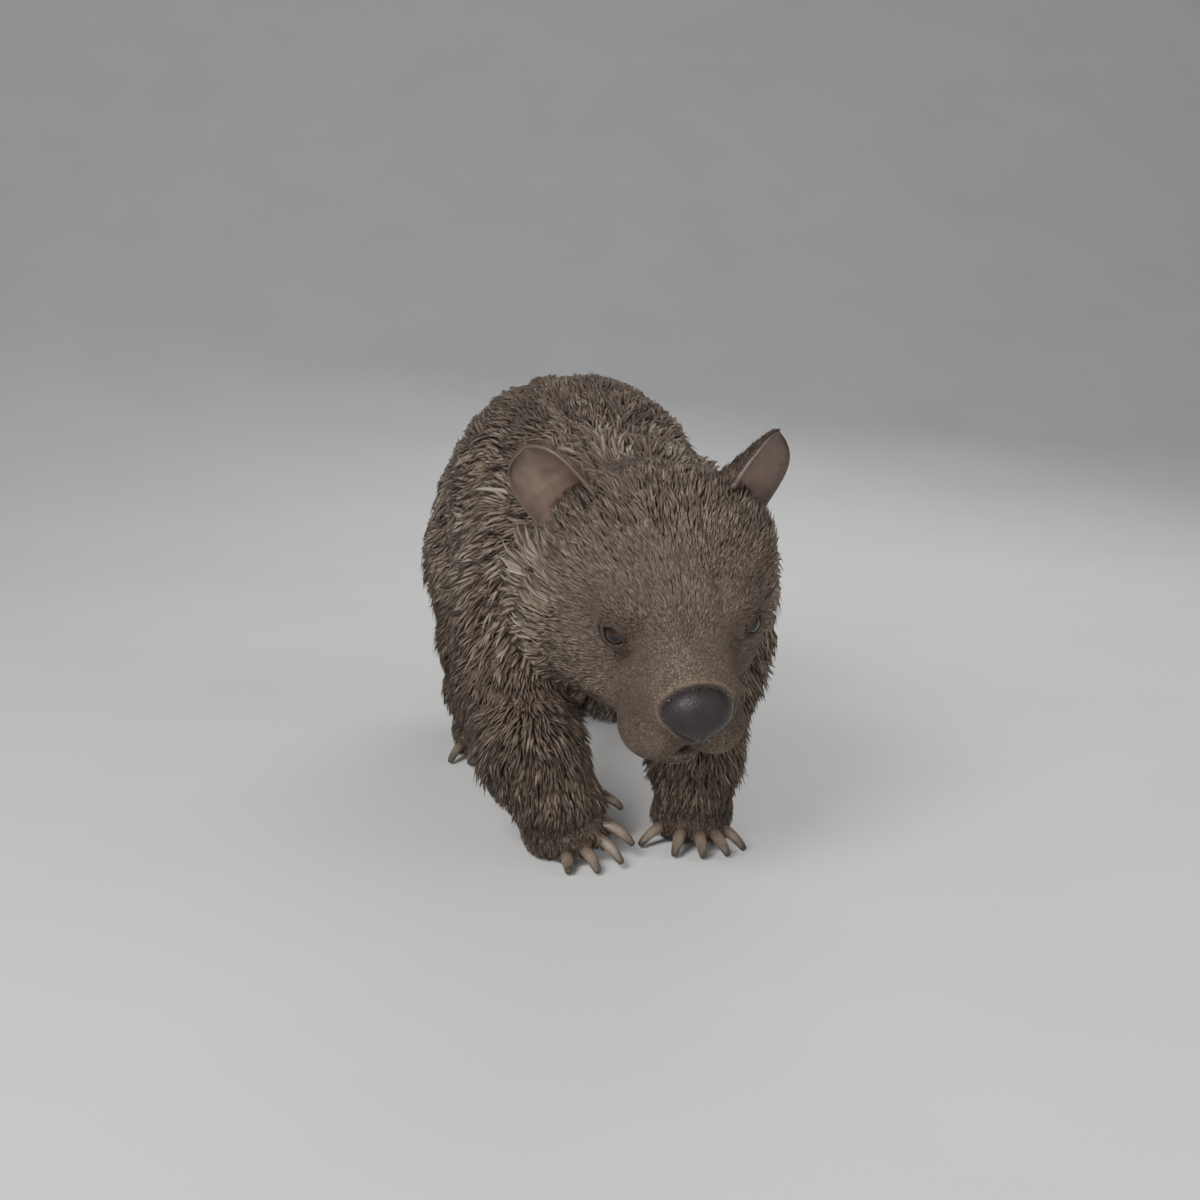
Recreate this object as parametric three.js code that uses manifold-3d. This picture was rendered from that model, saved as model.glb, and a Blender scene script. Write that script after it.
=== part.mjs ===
// A life-size common wombat, walking slowly with its head lowered, as a still museum model.
// Millimetres, +Z up. It faces -Y and its left side is +X. The origin is on the floor under
// the middle of the whole animal.
import * as THREE from "three";
import Module from "manifold-3d";

const wasm = await Module();
wasm.setup();

// Driving dimensions
const GAP = 0.3;
const SWELL = 0.5;
const SHORTEST_EDGE = 0.02;
const HEAD_AT = [-1, -330, 224];
const HEAD_YAW = 4;
const HEAD_PITCH = 34;
const HEAD_ROLL = -3;
const HEAD_BLEND = 35;
const LIMB_BLEND = 30;
const TORSO_STEP = 29;
const NECK_STEP = 20;
const HEAD_STEP = 12.3;
const LEG_STEP = 17.5;
const NOSE_STEP = 8.5;
const TAIL_STEP = 9;

// The long coat: a core that lies under the outline, and locks that reach out past it. A lock
// rises through the heights over the outline at its stops, given as shares of its length.
const COAT_DEPTH = 6;
const COAT_LOW_EDGE = [150, 200];
const COAT_HIGH_EDGE = [310, 350];
const LOCK_STOPS = [0, 0.3, 0.68, 1];
const LOCK_HEIGHTS = [-16, -1, 3, 5];
const LOCK_WIDTHS = [0.8, 1, 0.8, 0.12];
const LOCK_FLATNESS = 0.2;
const BODY_LINE_X = -8;
const TIER_HEIGHT = 235;
const FRINGE_HEIGHT = 182;
const FLANK_TIERS = { stations: [-125, 395, 65], angles: [-22, 62], count: 4, seed: 11 };
const NECK_TIERS = { stations: [-222, -222, 65], angles: [-30, 60], count: 5, seed: 37 };
const FRINGE_STATIONS = [-150, -60, 24];
const FRINGE_SEED = 23;
const RUFF_TIERS = [
  { at: 34, angles: [-68, -42, -16, 10] },
  { at: 64, angles: [-55, -29, -3, 23] },
];
const RUFF_HEIGHT = -20;
const RUFF_SEED = 51;
const FLANK_LOCK = { length: 92, width: 42, lift: 1 };
const FRINGE_LOCK = { length: 58, width: 24, lift: 1.6 };
const NECK_LOCK = { length: 60, width: 30, lift: 1 };
const RUFF_LOCK = { length: 60, width: 36, lift: 2.5 };

// The masses of the body: each an ellipsoid with its centre, its half sizes and how softly it
// blends with the masses before it.
const BODY_MASSES = [
  { name: "barrel", at: [-10, 80, 250], size: [127, 215, 138], blend: 0 },
  { name: "back", at: [-16, 105, 319], size: [97, 200, 77], blend: 60 },
  { name: "chest", at: [-6, -110, 222], size: [113, 135, 123], blend: 60 },
  { name: "rump", at: [-24, 300, 240], size: [106, 150, 125], blend: 80 },
  { name: "neck", at: [-4, -200, 245], size: [94, 110, 98], blend: 60 },
  { name: "right shoulder", at: [-86, -120, 210], size: [50, 80, 92], blend: 50 },
  { name: "left shoulder", at: [80, -120, 207], size: [51, 80, 92], blend: 50 },
  { name: "right thigh", at: [-86, 250, 190], size: [55, 100, 100], blend: 50 },
  { name: "left thigh", at: [54, 270, 190], size: [61, 100, 100], blend: 50 },
];

// The masses of the head, in the head's own frame: its origin lies between the eyes, x to its
// left, y towards the nape and z towards the forehead. A pair stands on both sides.
const HEAD_MASSES = [
  { name: "cranium", at: [0, 60, 14], size: [82, 78, 68], blend: 0 },
  { name: "temples", at: [47, 50, 34], size: [44, 56, 40], blend: 20, pair: true },
  { name: "forehead", at: [0, 2, 15], size: [55, 54, 42], blend: 30 },
  { name: "nose bridge", at: [0, -38, 2], size: [27, 46, 26], blend: 25 },
  { name: "cheeks", at: [52, 50, -44], size: [43, 60, 56], blend: 30, pair: true },
  { name: "jaw", at: [0, 14, -62], size: [58, 72, 42], blend: 30 },
  { name: "muzzle", at: [0, -40, -26], size: [45, 48, 42], blend: 25 },
  { name: "nose base", at: [0, -72, -18], size: [36, 24, 28], blend: 20 },
  { name: "upper lips", at: [24, -60, -56], size: [28, 32, 25], blend: 12, pair: true },
  { name: "lower lip", at: [0, -41, -93], size: [29, 30, 15], blend: 12 },
  { name: "eye mounds", at: [43, -19, 14], size: [17, 17, 17], blend: 14, pair: true },
  { name: "brows", at: [42, -16, 33], size: [20, 18, 9], blend: 15, pair: true },
];
const EYE_AT = [49, -25.5, 15.5];
const EYE_RADIUS = 12.6;
const LID_THICKNESS = 3.4;
const NOSE_AT = [0, -89, -16];
const NOSE_SIZE = [27, 19, 24];
const NOSTRIL_AT = [13, -103, -26];
const NOSTRIL_SIZE = [6, 7, 4];
const MOUTH_AT = [0, -38, -80];
const MOUTH_REACH = 105;
const MOUTH_GROOVE = 3;

// The ears, in the head's own frame
const EAR_ROOT = [64, 84, 52];
const EAR_UP = [0.72, 0.15, 0.64];
const EAR_FACING = [0.6, -0.8, 0.05];
const EAR_LENGTH = 71;
const EAR_HALF_WIDTH = 30;
const EAR_THICKNESS = 4.5;
const EAR_CURL = 74;

// The legs: a chain of joints from inside the body to the wrist or ankle, each with its radius,
// then the paw. Cut is a point and the outward slope of the plane where the leg leaves the body.
const LEGS = [
  {
    name: "foreleg_right", side: -1, cut: [-100, 128], slope: 0.83, front: true,
    joints: [[-92, -125, 205, 54], [-112, -160, 140, 46], [-100, -215, 92, 43], [-80, -226, 52, 39]],
    paw: { at: [-72, -225], yaw: 26, roll: 24, size: [36, 36, 22], lift: 22 },
    fan: [-34, -12, 10, 34, 82], reach: [40, 44, 44, 41, 41], rise: [0, 0, 0, 2, 13],
  },
  {
    name: "foreleg_left", side: 1, cut: [88, 128], slope: 0.83, front: true,
    joints: [[78, -120, 205, 54], [80, -130, 135, 45], [54, -190, 75, 38], [48, -207, 40, 33]],
    paw: { at: [47, -203], yaw: 0, roll: 0, size: [35, 36, 22], lift: 20 },
    fan: [34, 15, -4, -26, -64], reach: [38, 42, 42, 39, 32],
  },
  {
    name: "hindleg_right", side: -1, cut: [-84, 112], slope: 0.83, front: false,
    joints: [[-92, 235, 190, 62], [-104, 150, 120, 46], [-108, 190, 60, 34], [-110, 165, 30, 26]],
    paw: { at: [-112, 135], yaw: -2, roll: 0, size: [30, 44, 20], lift: 18 },
    fan: [-30, -11, 8, 27, 58], reach: [44, 48, 48, 44, 36],
  },
  {
    name: "hindleg_left", side: 1, cut: [60, 112], slope: 0.83, front: false,
    joints: [[56, 275, 190, 62], [72, 260, 120, 46], [80, 335, 60, 34], [82, 315, 30, 26]],
    paw: { at: [83, 285], yaw: 4, roll: 0, size: [30, 44, 20], lift: 18 },
    fan: [30, 11, -8, -27, -58], reach: [44, 48, 48, 44, 36],
  },
];
const TOE_RADIUS = 12;
const TOE_END_RADIUS = 8;
const CLAW_LENGTH = 25;
const CLAW_RADIUS = 6.4;
const CLAW_TIP_RADIUS = 2.6;
const CLAW_TIP_HEIGHT = 3.4;

// The tail is a short stub under the rump.
const TAIL_ROOT = [-30, 425, 225];
const TAIL_TIP = [-31, 458, 196];
const TAIL_RADIUS = 13;
const TAIL_TIP_RADIUS = 7;

// Where the body is parted: the head from the neck in the head's frame, the neck from the torso
const NAPE_CUT = 95;
const NAPE_LEAN = 0.25;
const THROAT_POINT = [0, -212, 170];
const THROAT_LEAN = -0.75;
const SHOULDER_CUT = -168;
const SHOULDER_LEAN = 0.2;
const SHOULDER_HEIGHT = 250;

const FUR = { color: 0x6b5f53, roughness: 0.9, metalness: 0 };
const HORN = { color: 0x3b342d, roughness: 0.45, metalness: 0 };
const NOSE_SKIN = { color: 0x2b2625, roughness: 0.5, metalness: 0 };
const EYE_GLASS = { color: 0x14100d, roughness: 0.08, metalness: 0 };

// Frames
const radians = THREE.MathUtils.degToRad;

function turned(yaw, pitch, roll) {
  const turn = new THREE.Matrix4().makeRotationZ(radians(yaw));
  turn.multiply(new THREE.Matrix4().makeRotationX(radians(pitch)));
  return turn.multiply(new THREE.Matrix4().makeRotationY(radians(roll)));
}

function frameAt(at, turn) {
  return new THREE.Matrix4().makeTranslation(...at).multiply(turn);
}

const HEAD_FRAME = frameAt(HEAD_AT, turned(HEAD_YAW, HEAD_PITCH, HEAD_ROLL));
const HEAD_INVERSE = HEAD_FRAME.clone().invert();

function moved(matrix, point) {
  return new THREE.Vector3(...point).applyMatrix4(matrix).toArray();
}

// Fields: each is a function of a point that is negative inside the shape
function smoothMin(a, b, k) {
  if (k <= 0) return Math.min(a, b);
  const h = THREE.MathUtils.clamp(0.5 + (0.5 * (b - a)) / k, 0, 1);
  return b + (a - b) * h - k * h * (1 - h);
}

function ellipsoid(at, size) {
  return ([x, y, z]) => {
    const p = [(x - at[0]) / size[0], (y - at[1]) / size[1], (z - at[2]) / size[2]];
    const near = Math.hypot(...p);
    const slope = Math.hypot(p[0] / size[0], p[1] / size[1], p[2] / size[2]) + 1e-12;
    return (near * (near - 1)) / slope;
  };
}

function roundCone(from, to, fromRadius, toRadius) {
  const a = new THREE.Vector3(...from);
  const along = new THREE.Vector3(...to).sub(a);
  const length2 = along.lengthSq();
  const p = new THREE.Vector3();
  return ([x, y, z]) => {
    p.set(x, y, z).sub(a);
    const t = THREE.MathUtils.clamp(p.dot(along) / length2, 0, 1);
    return p.addScaledVector(along, -t).length() - (fromRadius + (toRadius - fromRadius) * t);
  };
}

function inFrame(inverse, field) {
  const p = new THREE.Vector3();
  return (point) => field(p.set(...point).applyMatrix4(inverse).toArray());
}

function blended(masses) {
  const parts = [];
  for (const { at, size, blend, pair } of masses) {
    parts.push([ellipsoid(at, size), blend]);
    if (pair) parts.push([ellipsoid([-at[0], at[1], at[2]], size), blend]);
  }
  return (point) => parts.reduce((d, [part, k]) => smoothMin(d, part(point), k), 1e9);
}

function legField({ joints, paw }) {
  const parts = joints.slice(1).map((to, i) => {
    const from = joints[i];
    return roundCone(from.slice(0, 3), to.slice(0, 3), from[3], to[3]);
  });
  const pawInverse = pawFrame(paw).invert();
  parts.push(inFrame(pawInverse, ellipsoid([0, 0, 0], paw.size)));
  return (point) => parts.reduce((d, part) => smoothMin(d, part(point), 20), 1e9);
}

function pawFrame({ at, yaw, roll, lift }) {
  const turn = turned(yaw, 0, 0).multiply(turned(0, 0, Math.sign(at[0]) * roll));
  return frameAt([at[0], at[1], lift], turn);
}

const bodyMasses = blended(BODY_MASSES);
const headMasses = inFrame(HEAD_INVERSE, blended(HEAD_MASSES));
const legFields = LEGS.map(legField);

// The whole animal's surface, without ears, nose pad, eyes, toes and tail
function animal(point) {
  let d = bodyMasses(point);
  for (const leg of legFields) d = smoothMin(d, leg(point), LIMB_BLEND);
  return smoothMin(d, headMasses(point), HEAD_BLEND);
}

// Solids
function solidFrom(positions, triangles) {
  return new wasm.Manifold(
    new wasm.Mesh({
      numProp: 3,
      vertProperties: Float32Array.from(positions.flat()),
      triVerts: Uint32Array.from(triangles.flat()),
    }),
  );
}

// The biggest closed surface of a solid: loose scraps and sealed hollows go
function largest(solid) {
  const pieces = solid.decompose();
  return pieces.reduce((best, piece) => (piece.volume() > best.volume() ? piece : best));
}

// A cut leaves edges too short to keep, and edges where four triangles meet: the two ends of
// each become one corner, and the triangles that close up go.
function welded(solid) {
  const { vertProperties, triVerts } = solid.getMesh();
  const corners = [];
  const cornerAt = new Map();
  const number = Array.from({ length: vertProperties.length / 3 }, (_, i) => {
    const corner = Array.from(vertProperties.slice(3 * i, 3 * i + 3));
    const key = corner.map((value) => value.toFixed(3)).join();
    if (!cornerAt.has(key)) cornerAt.set(key, corners.push(corner) - 1);
    return cornerAt.get(key);
  });
  let triangles = [];
  for (let i = 0; i < triVerts.length; i += 3)
    triangles.push(Array.from(triVerts.slice(i, i + 3), (n) => number[n]));
  for (let merged = true; merged; ) {
    triangles = triangles.filter((triangle) => new Set(triangle).size === 3);
    const sharing = new Map();
    for (const [a, b, c] of triangles)
      for (const edge of [[a, b], [b, c], [c, a]]) {
        const key = Math.min(...edge) * corners.length + Math.max(...edge);
        sharing.set(key, (sharing.get(key) ?? 0) + 1);
      }
    const gone = new Map();
    for (const [key, count] of sharing) {
      const ends = [Math.floor(key / corners.length), key % corners.length];
      const [p, q] = ends.map((end) => corners[end]);
      const short = Math.hypot(p[0] - q[0], p[1] - q[1], p[2] - q[2]) < SHORTEST_EDGE;
      if ((short || count > 2) && !ends.some((end) => gone.has(end))) {
        gone.set(ends[1], ends[0]);
        gone.set(ends[0], ends[0]);
      }
    }
    merged = gone.size > 0;
    triangles = triangles.map((triangle) => triangle.map((n) => gone.get(n) ?? n));
  }
  const used = new Map([...new Set(triangles.flat())].map((old, i) => [old, i]));
  const positions = [...used.keys()].map((old) => corners[old]);
  return solidFrom(positions, triangles.map((triangle) => triangle.map((n) => used.get(n))));
}

function marks(from, to, step) {
  const count = Math.ceil((to - from) / step);
  return Array.from({ length: count + 1 }, (_, i) => from + i * step);
}

// A closed net of quads round the inside of a field: one vertex in each grid cell that the
// surface crosses, at the mean of its crossings, and one quad across each grid edge it cuts.
function netOf(field, low, high, step) {
  const lines = [0, 1, 2].map((axis) => marks(low[axis], high[axis], step));
  const [nx, ny, nz] = lines.map((line) => line.length);
  const at = (i, j, k) => (i * ny + j) * nz + k;
  const values = new Float64Array(nx * ny * nz);
  for (let i = 0; i < nx; i++)
    for (let j = 0; j < ny; j++)
      for (let k = 0; k < nz; k++) {
        const edge = i === 0 || j === 0 || k === 0 || i === nx - 1 || j === ny - 1 || k === nz - 1;
        const value = field([lines[0][i], lines[1][j], lines[2][k]]);
        values[at(i, j, k)] = edge ? Math.max(value, step * 0.5) : value;
      }
  const positions = [];
  const vertexOf = new Int32Array(nx * ny * nz).fill(-1);
  const corners = [0, 1, 2, 3, 4, 5, 6, 7].map((n) => [(n >> 2) & 1, (n >> 1) & 1, n & 1]);
  const pairs = [];
  corners.forEach((a, n) => {
    for (let axis = 0; axis < 3; axis++)
      if (!a[axis]) pairs.push([a, a.map((v, m) => (m === axis ? 1 : v))]);
  });
  for (let i = 0; i < nx - 1; i++)
    for (let j = 0; j < ny - 1; j++)
      for (let k = 0; k < nz - 1; k++) {
        const sum = [0, 0, 0];
        let count = 0;
        for (const [a, b] of pairs) {
          const fa = values[at(i + a[0], j + a[1], k + a[2])];
          const fb = values[at(i + b[0], j + b[1], k + b[2])];
          if (fa < 0 === fb < 0) continue;
          const t = fa / (fa - fb);
          const cell = [i, j, k];
          for (let axis = 0; axis < 3; axis++) {
            const from = lines[axis][cell[axis] + a[axis]];
            const to = lines[axis][cell[axis] + b[axis]];
            sum[axis] += from + t * (to - from);
          }
          count++;
        }
        if (!count) continue;
        vertexOf[at(i, j, k)] = positions.length;
        positions.push(sum.map((v) => v / count));
      }
  const apart = (a, b) =>
    Math.hypot(...positions[a].map((v, axis) => v - positions[b][axis]));
  const triangles = [];
  const step3 = [at(1, 0, 0), at(0, 1, 0), at(0, 0, 1)];
  for (let i = 0; i < nx - 1; i++)
    for (let j = 0; j < ny - 1; j++)
      for (let k = 0; k < nz - 1; k++)
        for (let axis = 0; axis < 3; axis++) {
          if ([i, j, k].some((n, other) => n === 0 && other !== axis)) continue;
          const here = at(i, j, k);
          const inside = values[here] < 0;
          if (inside === values[here + step3[axis]] < 0) continue;
          const u = step3[(axis + 1) % 3];
          const v = step3[(axis + 2) % 3];
          const quad = [here - u - v, here - v, here, here - u].map((cell) => vertexOf[cell]);
          if (!inside) quad.reverse();
          const [a, b, c, d] = quad;
          if (apart(a, c) <= apart(b, d)) triangles.push([a, b, c], [a, c, d]);
          else triangles.push([a, b, d], [b, c, d]);
        }
  return solidFrom(positions, triangles);
}

const UPWARD = new THREE.Vector3(0, 0, 1);

// A closed tube along a path: at each stop a centre, a radius and how flat the section is.
// The first and last sections are closed by flat faces.
function tubeAlong(stops, sides, turnBy = 0.5) {
  const positions = [];
  const triangles = [];
  const count = stops.length;
  const points = stops.map((stop) => new THREE.Vector3(...stop.at));
  points.forEach((point, i) => {
    const before = points[Math.max(0, i - 1)];
    const after = points[Math.min(count - 1, i + 1)];
    const along = after.clone().sub(before).normalize();
    const across = along.clone().cross(stops[i].upward ?? UPWARD).normalize();
    const lift = across.clone().cross(along);
    for (let n = 0; n < sides; n++) {
      const turn = (2 * Math.PI * (n + turnBy)) / sides;
      const wide = stops[i].radius * Math.cos(turn);
      const high = stops[i].radius * (stops[i].flat ?? 1) * Math.sin(turn);
      const corner = point.clone().addScaledVector(across, wide).addScaledVector(lift, high);
      positions.push(corner.toArray());
    }
  });
  for (let i = 0; i < count - 1; i++)
    for (let n = 0; n < sides; n++) {
      const a = i * sides + n;
      const b = i * sides + ((n + 1) % sides);
      triangles.push([a, b, b + sides], [a, b + sides, a + sides]);
    }
  const last = (count - 1) * sides;
  for (let n = 1; n < sides - 1; n++) {
    triangles.push([0, n + 1, n]);
    triangles.push([last, last + n, last + n + 1]);
  }
  const tube = solidFrom(positions, triangles);
  return tube.volume() > 0 ? tube : solidFrom(positions, triangles.map(([a, b, c]) => [a, c, b]));
}

// A ball of rings and sides, with its half sizes, in a frame
function ballAt(frame, at, size, rings, sides) {
  const geometry = new THREE.SphereGeometry(1, sides, rings);
  geometry.scale(...size);
  geometry.rotateX(Math.PI / 2);
  geometry.translate(...at);
  geometry.applyMatrix4(frame);
  return solidOf(geometry);
}

// A three.js geometry as a solid, with its shared corners joined
function solidOf(geometry) {
  const corners = geometry.getAttribute("position");
  const seen = new Map();
  const positions = [];
  const index = [];
  for (let i = 0; i < corners.count; i++) {
    const point = [corners.getX(i), corners.getY(i), corners.getZ(i)];
    const key = point.map((v) => Math.round(v * 1e3)).join();
    if (!seen.has(key)) {
      seen.set(key, positions.length);
      positions.push(point);
    }
    index.push(seen.get(key));
  }
  const order = geometry.index ? Array.from(geometry.index.array) : index.map((_, i) => i);
  const triangles = [];
  for (let i = 0; i < order.length; i += 3) {
    const [a, b, c] = [index[order[i]], index[order[i + 1]], index[order[i + 2]]];
    if (a !== b && b !== c && c !== a) triangles.push([a, b, c]);
  }
  return solidFrom(positions, triangles);
}

// Cutting planes: the kept side is where normal . point >= offset
function kept(solid, { normal, offset }, clear = 0) {
  return solid.trimByPlane(normal, offset + clear);
}

function flipped({ normal, offset }) {
  return { normal: normal.map((v) => -v), offset: -offset };
}

function planeThrough(point, direction) {
  const normal = new THREE.Vector3(...direction).normalize();
  return { normal: normal.toArray(), offset: normal.dot(new THREE.Vector3(...point)) };
}

const napePlane = (() => {
  const point = moved(HEAD_FRAME, [0, NAPE_CUT, 0]);
  const rotation = new THREE.Matrix4().extractRotation(HEAD_FRAME);
  return planeThrough(point, moved(rotation, [0, -1, NAPE_LEAN]));
})();
const throatPlane = planeThrough(THROAT_POINT, [0, THROAT_LEAN, 1]);
const shoulderPlane = planeThrough([0, SHOULDER_CUT, SHOULDER_HEIGHT], [0, -1, SHOULDER_LEAN]);
const legPlanes = LEGS.map(({ side, cut, slope }) =>
  planeThrough([cut[0], 0, cut[1]], [side * slope, 0, -1]),
);

// Parts of the body
const HALF_GAP = GAP / 2;

// How far a piece keeps off a parting plane. A swollen one, which cuts its neighbour's locks,
// reaches over the plane almost to the neighbour's face.
function planeGap(swell) {
  return swell > 0 ? -0.9 * HALF_GAP : HALF_GAP;
}

const TORSO_BOX = [[-220, -230, 60], [200, 490, 440]];
const NECK_BOX = [[-190, -330, 90], [180, -90, 420]];
const HEAD_BOX = [[-125, -125, -115], [125, 145, 115]];
const LEG_INNER_X = { right: -12, left: 0 };
const LEG_INNER_Y = { front: -20, hind: 70 };
const FLOOR = planeThrough([0, 0, 0], [0, 0, 1]);
const EVERYWHERE = solidOf(new THREE.BoxGeometry(1000, 1600, 1200));

function legRegion(solid, index, clear) {
  const { front, side } = LEGS[index];
  let part = kept(solid, legPlanes[index], clear);
  const innerX = side < 0 ? LEG_INNER_X.right : LEG_INNER_X.left;
  const innerY = front ? LEG_INNER_Y.front : LEG_INNER_Y.hind;
  part = kept(part, planeThrough([innerX, 0, 0], [side, 0, 0]), clear);
  return kept(part, planeThrough([0, innerY, 0], [0, front ? -1 : 1, 0]), clear);
}

function toe(leg, index) {
  const angle = radians(leg.fan[index]);
  const ahead = [Math.sin(angle), -Math.cos(angle)];
  const reach = leg.reach[index];
  const frame = pawFrame(leg.paw);
  const rise = leg.rise?.[index] ?? 0;
  const at = (r, z) => moved(frame, [ahead[0] * r, ahead[1] * r, z + rise]);
  const stops = [
    { at: at(reach * 0.2, 2), radius: TOE_RADIUS },
    { at: at(reach * 0.7, 1), radius: TOE_RADIUS },
    { at: at(reach, -5), radius: TOE_END_RADIUS },
  ];
  const end = new THREE.Vector3(...stops[2].at);
  const rotation = new THREE.Matrix4().extractRotation(frame);
  return { stops, end, ahead: new THREE.Vector3(...ahead, 0).applyMatrix4(rotation) };
}

function legCore(index, swell) {
  const { joints, paw } = LEGS[index];
  const xs = joints.map((joint) => joint[0]).concat(paw.at[0]);
  const ys = joints.map((joint) => joint[1]).concat(paw.at[1]);
  const low = [Math.min(...xs) - 80, Math.min(...ys) - 90, -15];
  const high = [Math.max(...xs) + 80, Math.max(...ys) + 90, 230];
  const grown = (point) => animal(point) - swell;
  return legRegion(netOf(grown, low, high, LEG_STEP), index, planeGap(swell));
}

function makeLeg(index) {
  const leg = LEGS[index];
  let solid = legCore(index, 0);
  for (let i = 0; i < leg.fan.length; i++) solid = solid.add(tubeAlong(toe(leg, i).stops, 6));
  for (let i = 0; i < clawsOf(leg); i++) solid = solid.subtract(makeClaw(leg, i, GAP));
  return largest(kept(solid, FLOOR));
}

// The first toe of a hind foot has no claw.
function clawsOf(leg) {
  return leg.front ? leg.fan.length : leg.fan.length - 1;
}

// A claw stands a hair's gap off the flat end of its toe and curves down to the floor.
function makeClaw(leg, index, grow = 0) {
  const { stops, end, ahead } = toe(leg, index);
  const slant = end.clone().sub(new THREE.Vector3(...stops[1].at)).normalize();
  const start = end.clone().addScaledVector(slant, GAP - grow);
  const drop = start.z - Math.max(CLAW_TIP_HEIGHT, start.z - 14);
  const claws = marks(0, 1, 1 / 3).map((t) => {
    const at = start.clone().addScaledVector(ahead, CLAW_LENGTH * t);
    const radius = CLAW_TIP_RADIUS + (CLAW_RADIUS - CLAW_TIP_RADIUS) * (1 - t) ** 0.55;
    at.z += -drop * t ** 1.6 + 1.5 * Math.sin(Math.PI * t);
    at.z = Math.max(at.z, radius + GAP);
    return { at: at.toArray(), radius: radius + grow };
  });
  return tubeAlong(claws, 5);
}

// How far the core lies under the outline: nothing at the legs, belly and back, where the coat
// is short, and all of it between
function coreDepth([, , z]) {
  const { smoothstep } = THREE.MathUtils;
  return COAT_DEPTH * (smoothstep(z, ...COAT_LOW_EDGE) - smoothstep(z, ...COAT_HIGH_EDGE));
}

function core(point) {
  return animal(point) + coreDepth(point);
}

function torsoNet(swell) {
  const grown = (point) => core(point) - swell;
  return netOf(grown, ...TORSO_BOX, TORSO_STEP);
}

function torsoCore(swell) {
  const solid = kept(torsoNet(swell), flipped(shoulderPlane), planeGap(swell));
  return outsideLegs(solid, -planeGap(swell));
}

function outsideLegs(solid, grow) {
  return LEGS.reduce((rest, _, index) => rest.subtract(legRegion(EVERYWHERE, index, grow)), solid);
}

function clearOfLegs(solid) {
  return LEGS.reduce((rest, _, index) => rest.subtract(legCore(index, SWELL)), solid);
}

function makeTorso() {
  return largest(clearOfLegs(joined([torsoCore(0), ...torsoLocks(0)])));
}

function neckCore(swell) {
  const grown = (point) => core(point) - swell;
  const net = netOf(grown, ...NECK_BOX, NECK_STEP);
  const solid = kept(net, shoulderPlane, planeGap(swell));
  const parted = solid.subtract(headRegion(EVERYWHERE, -planeGap(swell)));
  return outsideLegs(parted, -planeGap(swell));
}

function makeNeck() {
  const solid = joined([neckCore(0), ...neckLocks(0)]);
  return largest(clearOfLegs(solid.subtract(joined([torsoCore(SWELL), ...torsoLocks(SWELL)]))));
}

function joined(solids) {
  return solids.reduce((sum, solid) => sum.add(solid));
}

// The unit direction out of the skin at a point
function outwardAt(point) {
  const slope = [0, 1, 2].map((axis) => {
    const ahead = point.map((v, other) => (other === axis ? v + 1 : v));
    const behind = point.map((v, other) => (other === axis ? v - 1 : v));
    return animal(ahead) - animal(behind);
  });
  return new THREE.Vector3(...slope).normalize();
}

// The nearest point of the outline, reached by two steps down its slope
function ontoOutline(point) {
  let at = new THREE.Vector3(...point);
  for (let n = 0; n < 2; n++)
    at = at.addScaledVector(outwardAt(at.toArray()), -animal(at.toArray()));
  return at;
}

// Where a ray from inside the body leaves it
function rayOut(from, direction) {
  let near = 0;
  let far = 300;
  for (let n = 0; n < 24; n++) {
    const mid = (near + far) / 2;
    if (animal(from.map((v, axis) => v + direction[axis] * mid)) < 0) near = mid;
    else far = mid;
  }
  return from.map((v, axis) => v + direction[axis] * near);
}

// A lock: a flat blade whose root is sunk in the core. It follows the outline along its lie,
// rises out of it and tapers to a tip.
function lock(root, lie, { length, width, lift }, grow) {
  let at = ontoOutline(root);
  const stops = LOCK_STOPS.map((share, i) => {
    const outward = outwardAt(at.toArray());
    const along = lie.clone().addScaledVector(outward, -lie.dot(outward)).normalize();
    if (i > 0) {
      at.addScaledVector(along, length * (share - LOCK_STOPS[i - 1]));
      at = ontoOutline(at.toArray());
    }
    const height = LOCK_HEIGHTS[i] * (LOCK_HEIGHTS[i] > 0 ? lift : 1);
    const upward = outwardAt(at.toArray());
    const centre = at.clone().addScaledVector(upward, height);
    return { at: centre.toArray(), radius: (width / 2) * LOCK_WIDTHS[i] + grow, upward };
  });
  for (const stop of stops) stop.flat = LOCK_FLATNESS * (1 + (4 * grow) / width);
  return tubeAlong(stops, 3, 0.75);
}

// A seeded source of numbers from -1 to 1
function scatter(seed) {
  let state = seed;
  return () => {
    state = (state * 1664525 + 1013904223) % 4294967296;
    return (2 * state) / 4294967296 - 1;
  };
}

function varied(kind, draw) {
  return {
    length: kind.length * (1 + 0.14 * draw()),
    width: kind.width * (1 + 0.14 * draw()),
    lift: kind.lift * (1 + 0.2 * draw()),
  };
}

// Tiers of locks round the body: at each station along it, roots spread over a range of angles
// from level, on both sides. Every other tier has one fewer, and so fills the spaces between.
function tiers({ stations, angles, count, seed }, kind, grow) {
  const draw = scatter(seed);
  const locks = [];
  marks(...stations).forEach((y, tier) => {
    for (const side of [-1, 1])
      for (let n = 0; n < count - (tier % 2); n++) {
        const share = (n + (tier % 2 ? 1 : 0.5) + 0.12 * draw()) / count;
        const angle = radians(angles[0] + (angles[1] - angles[0]) * share);
        const from = [BODY_LINE_X, y + 6 * draw(), TIER_HEIGHT];
        const root = rayOut(from, [side * Math.cos(angle), 0, Math.sin(angle)]);
        const lie = new THREE.Vector3(0, 1, -0.55 - 0.2 * draw());
        const shape = varied(kind, draw);
        locks.push(lock(root, lie, shape, grow));
      }
  });
  return locks;
}

function torsoLocks(grow) {
  return [...tiers(FLANK_TIERS, FLANK_LOCK, grow), ...shoulderFringe(grow)];
}

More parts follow.
